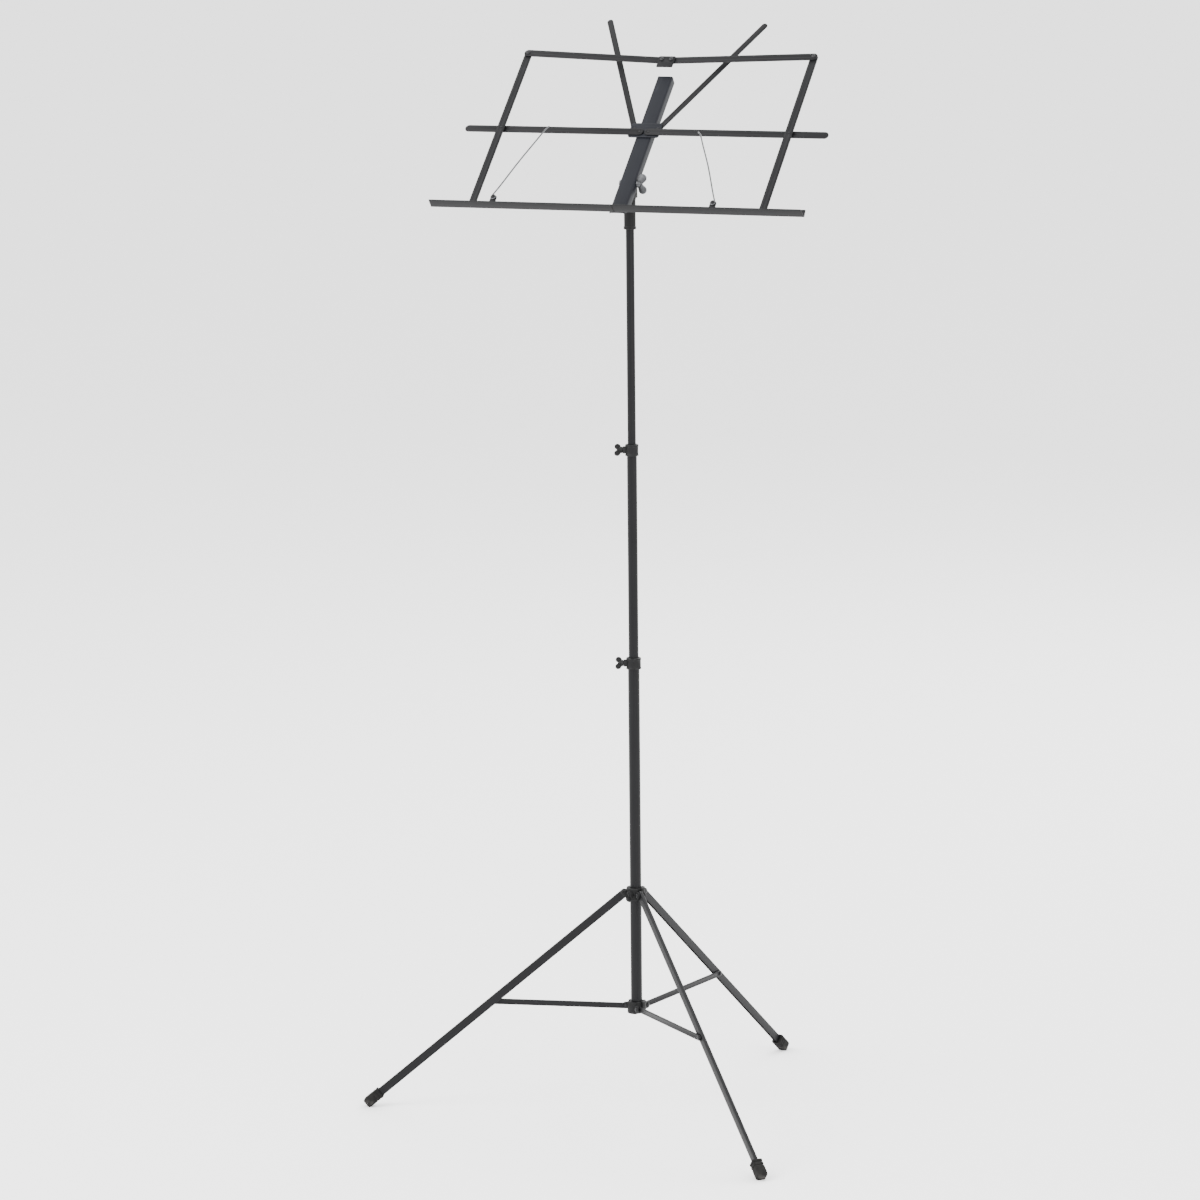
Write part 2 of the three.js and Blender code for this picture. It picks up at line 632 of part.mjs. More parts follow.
// an angle strip: a back flange that pivots on the spine, and the shelf that carries the pages
function ledgeArm(wireAt) {
  const half = STRAP_WIDTH / 2;
  const flange = new THREE.Shape();
  const inner = CLEARANCE;
  flange.moveTo(inner, SHELF_BOTTOM);
  flange.lineTo(LEDGE_HALF, SHELF_BOTTOM);
  flange.lineTo(LEDGE_HALF, ledgePivot + half);
  flange.lineTo(armPivotAt, ledgePivot + half);
  flange.absarc(armPivotAt, ledgePivot, half, Math.PI / 2, Math.PI, false);
  flange.lineTo(inner, ledgePivot);
  flange.closePath();
  addHole(flange, armPivotAt, ledgePivot, strapHole);
  addHole(flange, SIDE_BAR_AT, ledgePivot, strapHole);
  const front = ledgeLayer + SHELF_DEPTH;
  const tab = new THREE.Shape();
  tab.moveTo(wireAt - WIRE_TAB_HALF, SHELF_BOTTOM);
  tab.lineTo(wireAt + WIRE_TAB_HALF, SHELF_BOTTOM);
  tab.lineTo(wireAt + WIRE_TAB_HALF, ledgePivot);
  tab.absarc(wireAt, ledgePivot, WIRE_TAB_HALF, 0, Math.PI, false);
  tab.closePath();
  const ring = front + 2 * WIRE_RADIUS + 2 * CLEARANCE;
  const stud = rivet(front - OVERLAP, ring).translate(wireAt, ledgePivot, 0);
  return join(
    plate(flange, ledgeLayer, ledgeLayer + STRAP_THICKNESS),
    block([inner, LEDGE_HALF], [SHELF_BOTTOM, shelfTop], [ledgeLayer + OVERLAP, front]),
    plate(tab, front - SHELF_THICKNESS, front),
    stud,
  );
}

// a page wire: an eye that turns on its stud, and a rod that rises and leans towards the middle
function pageWire() {
  const at = ([across, up]) => new THREE.Vector3(-across * WIRE_LEAN_IN, up * WIRE_RISE, 0);
  const way = [[0.015, 0.022], [0.1, 0.16], [0.42, 0.5], [0.74, 0.8], [0.9, 0.95], [1, 1]];
  const rod = new THREE.ExtrudeGeometry(
    new THREE.Shape(new THREE.Path().absarc(0, 0, WIRE_RADIUS, 0, 2 * Math.PI, false).getPoints(4)),
    { steps: 24, bevelEnabled: false, extrudePath: new THREE.CatmullRomCurve3(way.map(at)) },
  );
  const eye = pipe(WIRE_EYE_RADIUS, RIVET_RADIUS + CLEARANCE, -WIRE_RADIUS, WIRE_RADIUS, BOLT_SIDES);
  return join(rod, eye);
}

function strapMesh(parent, name, length, layer, holesAt, width = STRAP_WIDTH) {
  const shape = strapShape(length, width, holesAt, strapHole);
  return add(parent, name, "strap", plate(shape, layer, layer + STRAP_THICKNESS));
}

function addDeskHalf(desk, side) {
  const half = groupAt(desk, [0, 0, 0]);
  half.scale.x = side === "left" ? -1 : 1;
  const at = (u, w) => groupAt(half, [u, w, 0]);
  const sideFront = sideLayer + layerPitch;
  const wide = RIVET_HEAD_RADIUS;

  const ledge = at(armPivotAt, ledgePivot);
  add(half, `ledge_arm_${side}`, "strap", ledgeArm(WIRE_AT[side]));
  const ledgeFront = ledgeLayer + layerPitch;
  const spacer = [webFront + CLEARANCE, ledgeLayer - CLEARANCE, wide];
  add(ledge, `ledge_rivet_${side}`, "zinc",
    rivet(webBack - CLEARANCE, ledgeFront, { back: true, shoulder: spacer }));

  strapMesh(at(armPivotAt, midPivot), `mid_arm_${side}`, MID_HALF - armPivotAt - STRAP_WIDTH / 2,
    midLayer, [0, armLength]);
  add(at(armPivotAt, midPivot), `mid_rivet_${side}`, "zinc",
    rivet(webBack - CLEARANCE, midLayer + STRAP_THICKNESS - FLUSH, { back: true, front: false }));

  const sideBar = strapMesh(at(SIDE_BAR_AT, ledgePivot), `side_bar_${side}`, TOP_CORNER - ledgePivot,
    sideLayer, [0, MID_ABOVE_LEDGE, TOP_CORNER - ledgePivot]);
  sideBar.rotation.z = Math.PI / 2;
  add(at(SIDE_BAR_AT, ledgePivot), `side_ledge_rivet_${side}`, "zinc", rivet(ledgeLayer + FLUSH, sideFront));
  const gap = [midLayer + layerPitch, sideLayer - CLEARANCE, wide];
  add(at(SIDE_BAR_AT, midPivot), `side_mid_rivet_${side}`, "zinc",
    rivet(midLayer - CLEARANCE, sideFront - CLEARANCE - FLUSH, { back: true, front: false, shoulder: gap }));

  const topLength = Math.hypot(topReach, TOP_DROP);
  const topArm = strapMesh(at(SIDE_BAR_AT, TOP_CORNER), `top_arm_${side}`, topLength, topLayer,
    [0, topLength]);
  topArm.rotation.z = Math.PI + Math.atan2(TOP_DROP, topReach);
  add(at(SIDE_BAR_AT, TOP_CORNER), `top_corner_rivet_${side}`, "zinc",
    rivet(sideLayer - CLEARANCE, topPlateLayer, { back: true }));

  const extensionPivot = midPivot + EXTENSION_ABOVE;
  const extension = strapMesh(at(EXTENSION_AT, extensionPivot), `extension_arm_${side}`, EXTENSION_LENGTH,
    extensionLayer, [0], EXTENSION_WIDTH);
  extension.rotation.z = Math.PI / 2 - EXTENSION_LEAN[side];
  add(at(EXTENSION_AT, extensionPivot), `extension_rivet_${side}`, "zinc",
    rivet(extensionLayer - CLEARANCE, crossLayer + STRAP_THICKNESS - FLUSH, { back: true, front: false }));

  const wire = add(half, `page_wire_${side}`, "wire", pageWire());
  wire.position.set(WIRE_AT[side], ledgePivot, ledgeLayer + SHELF_DEPTH + CLEARANCE + WIRE_RADIUS);
  wire.rotation.z = WIRE_TURN[side];
}

// the small plate that the two top arms meet on; the right-hand arm only lies behind its rivet
function addTopJoint(desk) {
  const pivot = TOP_CORNER - TOP_DROP;
  const across = [-TOP_PLATE_HALF, TOP_PLATE_HALF];
  const shape = roundedShape(across, [pivot - TOP_PLATE_DROP, pivot + STRAP_WIDTH / 2], TOP_PLATE_CORNER);
  addHole(shape, TOP_JOINT_AT, pivot, strapHole);
  addHole(shape, -TOP_JOINT_AT, pivot, strapHole);
  add(desk, "top_joint_plate", "strap", plate(shape, topPlateLayer, topPlateLayer + STRAP_THICKNESS));
  const front = topPlateLayer + layerPitch;
  const starts = { left: topLayer + FLUSH, right: topPlateLayer + FLUSH };
  for (const [side, start] of Object.entries(starts)) {
    const u = side === "left" ? -TOP_JOINT_AT : TOP_JOINT_AT;
    add(desk, `top_joint_rivet_${side}`, "zinc", rivet(start, front).translate(u, pivot, 0));
  }
}

function addDesk() {
  add(stand, "desk_socket", "moulding", deskSocket());
  const bolt = groupAt(stand, [0, 0, boltHeight]);
  add(bolt, "tilt_bolt", "zinc", tiltBolt());
  add(bolt, "tilt_wing_nut", "zinc", tiltWingNut());
  const tilted = groupAt(bolt, [0, 0, 0], [Math.PI / 2 - DESK_TILT, 0, 0]);
  const desk = groupAt(tilted, [0, -BOLT_UP_DESK, -boltBehindDesk]);
  add(desk, "spine", "spine", spine());
  add(desk, "cross_plate", "spine", crossPlate());
  addDeskHalf(desk, "left");
  addDeskHalf(desk, "right");
  addTopJoint(desk);
}

addPole();
addTripod();
addDesk();

// the middle of the footprint goes to the origin
stand.updateMatrixWorld(true);
const middle = new THREE.Box3().setFromObject(stand, true).getCenter(new THREE.Vector3());
stand.position.set(-middle.x, -middle.y, 0);

export default stand;
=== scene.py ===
"""Finishes and detailed pieces of a folding music stand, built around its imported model."""

import json
import math

import bmesh
import bpy
from mathutils import Matrix, Vector
from mathutils.geometry import tessellate_polygon


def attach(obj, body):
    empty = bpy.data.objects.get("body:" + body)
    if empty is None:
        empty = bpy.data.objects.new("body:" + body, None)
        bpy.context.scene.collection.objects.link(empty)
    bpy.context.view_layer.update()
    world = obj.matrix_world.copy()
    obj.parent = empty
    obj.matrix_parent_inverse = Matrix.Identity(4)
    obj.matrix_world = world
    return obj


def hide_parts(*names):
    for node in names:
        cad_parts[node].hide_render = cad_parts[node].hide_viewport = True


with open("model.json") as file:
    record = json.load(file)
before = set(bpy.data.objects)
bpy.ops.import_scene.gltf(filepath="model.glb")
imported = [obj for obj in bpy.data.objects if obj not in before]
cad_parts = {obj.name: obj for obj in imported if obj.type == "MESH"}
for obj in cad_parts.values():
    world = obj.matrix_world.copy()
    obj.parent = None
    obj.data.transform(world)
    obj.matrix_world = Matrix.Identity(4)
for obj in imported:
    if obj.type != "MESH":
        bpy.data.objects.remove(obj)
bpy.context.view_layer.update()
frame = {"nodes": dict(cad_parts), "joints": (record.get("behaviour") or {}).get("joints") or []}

mm = 0.001
NODES = frame["nodes"]
JOINTS = {joint["name"]: joint for joint in frame["joints"]}
ORIGIN = Matrix()
UP = Vector((0, 0, 1))
ACROSS = Vector((1, 0, 0))
SIDES = ("left", "right")
LEGS = (1, 2, 3)

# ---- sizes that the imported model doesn't state ----

EDGE = 0.3 * mm  # rounding of a plate's edges
SHARP = math.radians(35)  # faces that meet at more than this keep a crisp edge
SAME_PLACE = 1e-6  # points closer than this are one
NO_LENGTH = 1e-7
SHEET_BEND = 0.9 * mm  # middle radius of a fold in sheet steel
MOULDED_EDGE = 0.6 * mm  # rounding of a moulding's edges
FIT = 0.3 * mm  # between a moulding and the tube in it

HOLE = 1.8 * mm  # rivet holes in the straps
SHANK = 1.5 * mm
PIN_SHANK = 1.7 * mm
HEAD_RADIUS = 2.6 * mm
HEAD_HEIGHT = 1.4 * mm
SHANK_SINK = 0.1 * mm  # how far a shank reaches into its heads
SPACER_GAP = 0.3 * mm

TUBE_WALL = 0.7 * mm
COLLAR_WALL = 1.8 * mm
COLLAR_BEAD = 0.35 * mm  # how far a clamp collar's beads stand out
BOSS_RADIUS = 4.4 * mm
BOSS_REACH = 2.8 * mm
BOSS_RIM = 0.5 * mm
SCREW_RADIUS = 2.4 * mm
SCREW_GAP = 0.3 * mm

WING_HUB_RADIUS = 4 * mm
WING_HUB_LENGTH = 5 * mm
WING_TURN = math.radians(45)  # how far a wing screw is turned from upright
WING_THICKNESS = 2.6 * mm
WING_EDGE = 0.7 * mm
WING_LOBE = 0.42  # radius of a wing's round end, as a share of the wing's reach
WING_RISE = 0.35  # how far that end's centre lies above the hub's top, as a share of its radius
WING_ROOT = 2.4 * mm  # radius of a wing's outline at the hub
WING_RING = (1.3 * mm, 0.9 * mm)  # from a wing's edge in to both sides of its raised ring
WING_RING_RISE = 0.2 * mm
WING_RING_SINK = 0.05 * mm

CORE_RADIUS = 8.6 * mm  # floor of the hub's and the collar's notches
RING_RADIUS = 11.5 * mm
HUB_HALF = 7.5 * mm  # from the pins to the top of the hub and of the strut collar
CUP_FLOOR = 2 * mm
CUP_SINK = 0.4 * mm  # how far the cup's ring reaches into its floor
LEG_SIDE = 2.6 * mm  # from the middle of a leg to the ear beside it
STRUT_FAR_SIDE = 5 * mm  # from the middle of a leg to the ear beyond its strut
EAR_THICKNESS = 2.4 * mm
EAR_HOLE = 2 * mm
EAR_EDGE = 0.5 * mm
EAR_SINK = 0.6 * mm  # how far an ear starts inside the notch's floor
HUB_EAR = 4.2 * mm  # radius of an ear round its pivot
CUP_EAR = 4.1 * mm
LEG_WALL = 0.9 * mm
BOOT_HALF_HEIGHT = 6.5 * mm
BOOT_CORNER = 2.2 * mm
POCKET_HALF_HEIGHT = 5.3 * mm
POCKET_HALF_WIDTH = 2.6 * mm
POCKET_CORNER = 0.9 * mm

SOCKET_WALL = 2.2 * mm
SOCKET_WAIST = 0.5 * mm  # how far the sleeve's middle lies inside its bands
SHOULDER_DROP = 16 * mm  # from the bolt down to the sleeve's top
BLOCK_SINK = 0.6 * mm  # how far the tilt block reaches into the sleeve
BLOCK_ROUND = 5 * mm  # radius of the block's top
BOLT_HOLE = 2.8 * mm
BOLT_SHANK = 2.5 * mm
BOLT_HEAD = 4.4 * mm
BOLT_SIDE = 2.8 * mm  # height of the bolt's head and washer

STRAP_THICKNESS = 1.5 * mm
SPINE_WALL = 1.3 * mm
SPINE_BEND = 1.6 * mm
SPINE_FOOT_CUT = 13 * mm  # rise of the slope that cuts the side flanges at the bottom
SPINE_FOOT_LEAD = 1 * mm  # how far below the web's end that slope starts
SPINE_HEAD_CORNER = 4 * mm
CROSS_PLATE_CORNER = 3 * mm
JOINT_PLATE_CORNER = 1 * mm
SHELF_WALL = 1.2 * mm
SHELF_CORNER = 2.5 * mm
WIRE_TAB = 4 * mm  # radius of the shelf's tab behind a page wire
TAB_SINK = 0.2 * mm
STUD_SINK = 0.5 * mm
WIRE_RADIUS = 0.9 * mm
WIRE_EYE = 2.6 * mm  # radius of the wire's own turn about its stud
WIRE_GAP = 0.3 * mm  # between the wire and its tab
WIRE_LEAVES = 26  # degrees round the stud where the rod leaves it
WIRE_SWEEP = 330  # degrees that the wire goes round the stud

# ---- camera, light and floor ----

AZIMUTH = math.radians(23.88)  # of the camera, from the reader's side of the desk
ELEVATION = math.radians(9.67)
ROLL = math.radians(-0.57)
DISTANCE = 5.5909
AIM_HEIGHT = 0.6361  # of the place on the pole that the camera and lights face
AIM_ASIDE = -0.040
LENS = 139.04
SKY_STRENGTH = 2.6
SOFTBOX_SIZE = 2.4
FLOOR_RADIUS = 80


# ---- places ----


def pivot(joint):
    return Vector(JOINTS[joint]["pos_m"])


def axis(joint):
    return Vector(JOINTS[joint]["axis"]).normalized()


def limit(joint, end):
    """The lower (0) or upper (1) end of a hinge's range, in radians."""
    return math.radians(JOINTS[joint]["range_deg"][end])


def placed(origin, x, z):
    """The place at an origin whose own x and z run along two directions."""
    place = Matrix((x, z.cross(x), z)).transposed().to_4x4()
    place.translation = origin
    return place


def moved(place, x=0, y=0, z=0, turn=0):
    """A place shifted in its own directions, then turned about its own z."""
    return place @ Matrix.Translation((x, y, z)) @ Matrix.Rotation(turn, 4, "Z")


def span(node, place=ORIGIN):
    """Lowest and highest corner of a CAD node, as seen from a place."""
    back = place.inverted()
    seen = [back @ vertex.co for vertex in NODES[node].data.vertices]
    return Vector(map(min, zip(*seen))), Vector(map(max, zip(*seen)))


def half_width(node, place=ORIGIN):
    """Half of a CAD node's reach along a place's x."""
    low, high = span(node, place)
    return (high.x - low.x) / 2


def top_of(node):
    return span(node)[1].z


POLE = pivot("desk_swivel")
READER = axis("desk_fold")  # out of the desk, towards whoever reads
DESK = placed((pivot("desk_fold") + pivot("ledge_arm_left_fold")) / 2, ACROSS, READER)
MIRROR = Matrix.Scale(-1, 4, ACROSS)
HALF = {"right": DESK, "left": DESK @ MIRROR}
BOLT = pivot("desk_tilt")
STRAP_HALF = half_width("side_bar_right", DESK)


def on_pole(height):
    return Vector((POLE.x, POLE.y, height))


def round_pole(height=0):
    """The level place on the pole's line at a height."""
    return placed(on_pole(height), ACROSS, UP)


def outward_of(joint):
    """The level direction from the pole to a joint."""
    away = pivot(joint) - on_pole(0)
    away.z = 0
    return away.normalized()


def side_view(origin, outward, rise):
    """A place whose x runs outwards, raised by an angle, and whose y is above it."""
    along = outward * math.cos(rise) + UP * math.sin(rise)
    return placed(origin, along, outward.cross(UP))


# ---- outlines and paths, each in its own plane ----


def arc(x, y, radius, start, end, steps):
    """Points from one angle to another, in degrees."""
    angles = [math.radians(start + (end - start) * i / steps) for i in range(steps + 1)]
    return [(x + radius * math.cos(a), y + radius * math.sin(a)) for a in angles]


def hole(x, y, radius, steps=20):
    """A round hole's outline, clockwise."""
    return arc(x, y, radius, 360, 0, steps)[:-1]


def slot(start, end, half):
    """A strap's outline with round ends."""
    return arc(end, 0, half, -90, 90, 12) + arc(start, 0, half, 90, 270, 12)


def teardrop(root, tip, length):
    """Two circles of different radii with their outer tangents."""
    lean = math.degrees(math.acos((root - tip) / length))
    return arc(length, 0, tip, -lean, lean, 14) + arc(0, 0, root, lean, 360 - lean, 10)


def rounded(low, high, corner, steps=5):
    """A rectangle with round corners."""
    left, bottom = low[0] + corner, low[1] + corner
    right, top = high[0] - corner, high[1] - corner
    outline = []
    for quarter, (x, y) in enumerate([(right, top), (left, top), (left, bottom), (right, bottom)]):
        outline += arc(x, y, corner, 90 * quarter, 90 * quarter + 90, steps)
    return outline


def off(corner, *steps):
    """Points that lie so many millimetres off a corner."""
    return [(corner[0] + x * mm, corner[1] + y * mm) for x, y in steps]


def inwards(loop):
    """For each point of a loop, the step that moves both its sides in by one."""
    steps = []
    for before, here, after in zip(loop[-1:] + loop[:-1], loop, loop[1:] + loop[:1]):
        a = (Vector(here) - Vector(before)).normalized()
        b = (Vector(after) - Vector(here)).normalized()
        left = Vector((-a.y - b.y, a.x + b.x))
        steps.append(left / (1 + a.dot(b)))
    return steps


def folded_line(corners, bend):
    """Points along a line of corners with each corner rounded, each with the line's direction."""
    steps = 5
    corners = [Vector(corner) for corner in corners]
    line = [(corners[0], (corners[1] - corners[0]).normalized())]
    for before, here, after in zip(corners, corners[1:], corners[2:]):
        a, b = (here - before).normalized(), (after - here).normalized()
        turn = a.angle_signed(b)
        start = here - a * bend * math.tan(abs(turn) / 2)
        for i in range(steps + 1):
            part = turn * i / steps
            along = Matrix.Rotation(-part, 2) @ a
            chord = Matrix.Rotation(-part / 2, 2) @ a
            line.append((start + chord * 2 * bend * math.sin(abs(part) / 2), along))
    return line + [(corners[-1], (corners[-1] - corners[-2]).normalized())]


def bent_sheet(corners, thickness, bend=SHEET_BEND):
    """Pairs of points on both faces of a sheet folded along a line of corners, with round edges."""
    line = folded_line(corners, bend)
    half = thickness / 2
    angles = [math.radians(angle) for angle in (0, 30, 60, 80)]
    rim = [(half * (math.sin(angle) - math.sin(angles[-1])), math.cos(angle)) for angle in angles]

    def both_faces(point, along, out, share):
        side = Vector((-along.y, along.x)) * half * share
        return point + along * out + side, point + along * out - side

    pairs = [both_faces(*line[0], -out, share) for out, share in reversed(rim)]
    pairs += [both_faces(point, along, 0, 1) for point, along in line[1:-1]]
    pairs += [both_faces(*line[-1], out, share) for out, share in rim]
    return pairs


def smooth_path(points, steps):
    """A curve through the points, in so many steps from each to the next."""
    points = [Vector(point) for point in points]
    ends = [2 * points[0] - points[1]] + points + [2 * points[-1] - points[-2]]
    path = []
    for a, b, c, d in zip(ends, ends[1:], ends[2:], ends[3:]):
        square = 2 * a - 5 * b + 4 * c - d
        cube = 3 * b - 3 * c + d - a
        for t in (i / steps for i in range(steps)):
            path.append(0.5 * (2 * b + (c - a) * t + square * t**2 + cube * t**3))
    return path + [points[-1]]


# ---- node trees ----


def in_scene(name, data):
    """A new object in the scene."""
    thing = bpy.data.objects.new(name, data)
    bpy.context.scene.collection.objects.link(thing)
    return thing


class Wire:
    """An output socket whose arithmetic adds Math nodes to its tree."""

    def __init__(self, tree, socket):
        self.tree = tree
        self.socket = socket

    def math(self, operation, *numbers):
        return self.tree.add("ShaderNodeMath", {"operation": operation}, dict(enumerate(numbers)))

    def __add__(self, other):
        return self.math("ADD", self, other)

    def __radd__(self, other):
        return self.math("ADD", other, self)

    def __sub__(self, other):
        return self.math("SUBTRACT", self, other)

    def __rsub__(self, other):
        return self.math("SUBTRACT", other, self)

    def __mul__(self, other):
        return self.math("MULTIPLY", self, other)

    def __rmul__(self, other):
        return self.math("MULTIPLY", other, self)

    def __truediv__(self, other):
        return self.math("DIVIDE", self, other)

    def __rtruediv__(self, other):
        return self.math("DIVIDE", other, self)

    def at_most(self, other):
        return self.math("MINIMUM", self, other)

    def at_least(self, other):
        return self.math("MAXIMUM", self, other)

    def out(self, name):
        """Another output of the same node."""
        return Wire(self.tree, self.socket.node.outputs[name])


class Tree:
    """A node tree, filled by one method."""

    def __init__(self, tree):
        self.tree = tree

    def add(self, kind, settings=None, sockets=None, out=0):
        """Makes a node, with its settings and the values or links of its sockets; returns an output."""
        node = self.tree.nodes.new(kind)
        for name, value in (settings or {}).items():
            setattr(node, name, value)
        for name, value in (sockets or {}).items():
            if isinstance(value, Wire):
                self.tree.links.new(value.socket, node.inputs[name])
            else:
                node.inputs[name].default_value = value
        return Wire(self, node.outputs[out]) if node.outputs else None


# ---- shapes made by geometry nodes ----


class Shaper(Tree):
    """A geometry tree with named inputs, run once on a mesh or curve."""

    def __init__(self, name, inputs):
        super().__init__(bpy.data.node_groups.new(name, "GeometryNodeTree"))
        face = self.tree.interface
        face.new_socket("Geometry", in_out="INPUT", socket_type="NodeSocketGeometry")
        face.new_socket("Geometry", in_out="OUTPUT", socket_type="NodeSocketGeometry")
        for label, kind in inputs.items():
            face.new_socket(label, in_out="INPUT", socket_type=kind)
        self.entry = self.add("NodeGroupInput")

    def given(self, label):
        return self.entry.out(label)

    def end(self, geometry):
        """Realizes and finishes the geometry, and sends it out."""
        real = self.add("GeometryNodeRealizeInstances", {}, {"Geometry": geometry})
        even = self.add("GeometryNodeSetShadeSmooth", {}, {"Geometry": real})
        sockets = {"Geometry": even, "Material": self.given("Material")}
        done = self.add("GeometryNodeSetMaterial", {}, sockets)
        self.add("NodeGroupOutput", {}, {"Geometry": done})

    def run(self, source, values):
        """The plain mesh that the tree makes from a data block, with values for its inputs."""
        holder = in_scene("shaping", source)
        modifier = holder.modifiers.new("shape", "NODES")
        modifier.node_group = self.tree
        for item in self.tree.interface.items_tree:
            if item.in_out == "INPUT" and item.name in values:
                modifier[item.identifier] = values[item.name]
        evaluated = holder.evaluated_get(bpy.context.evaluated_depsgraph_get())
        mesh = bpy.data.meshes.new_from_object(evaluated)
        holder.modifiers.remove(modifier)
        bpy.data.objects.remove(holder)
        return mesh


def domed_heads_shaper():
    """A domed rivet head on every point, its dome along the point's own axis."""
    inputs = {"Radius": "NodeSocketFloat", "Height": "NodeSocketFloat", "Material": "NodeSocketMaterial"}
    shaper = Shaper("domed_heads", inputs)
    ball = shaper.add("GeometryNodeMeshUVSphere", {}, {"Segments": 24, "Rings": 14, "Radius": 1.0})
    place = shaper.add("GeometryNodeInputPosition")
    parts = shaper.add("ShaderNodeSeparateXYZ", {}, {"Vector": place})
    half_ball = {
        "X": parts.out("X") * shaper.given("Radius"),
        "Y": parts.out("Y") * shaper.given("Radius"),
        "Z": parts.out("Z").at_least(0.0) * shaper.given("Height"),
    }
    flat = shaper.add("ShaderNodeCombineXYZ", {}, half_ball)
    dome = shaper.add("GeometryNodeSetPosition", {}, {"Geometry": ball, "Position": flat})
    way = shaper.add("GeometryNodeInputNamedAttribute", {"data_type": "FLOAT_VECTOR"}, {"Name": "axis"})
    turn = shaper.add("FunctionNodeAlignRotationToVector", {"axis": "Z"}, {"Vector": way})
    sockets = {"Points": shaper.given("Geometry"), "Instance": dome, "Rotation": turn}
    shaper.end(shaper.add("GeometryNodeInstanceOnPoints", {}, sockets))
    return shaper


def round_wire_shaper():
    """A round wire along a curve, its ends rounded off."""
    inputs = {"Radius": "NodeSocketFloat", "Sides": "NodeSocketInt", "Material": "NodeSocketMaterial"}
    shaper = Shaper("round_wire", inputs)
    radius = shaper.given("Radius")
    along = shaper.add("GeometryNodeSplineParameter", {}, {}, "Length")
    whole = shaper.add("GeometryNodeSplineLength", {}, {}, "Length")
    near_end = (along.at_most(whole - along) / radius).at_most(1.0)
    inset = 1.0 - near_end
    squared = (1.0 - inset * inset).at_least(0.004)
    roundness = squared.math("SQRT", squared)
    sockets = {"Resolution": shaper.given("Sides"), "Radius": radius}
    ring = shaper.add("GeometryNodeCurvePrimitiveCircle", {}, sockets)
    sockets = {"Curve": shaper.given("Geometry"), "Profile Curve": ring, "Scale": roundness}
    sockets["Fill Caps"] = True
    shaper.end(shaper.add("GeometryNodeCurveToMesh", {}, sockets))
    return shaper


# ---- pieces ----


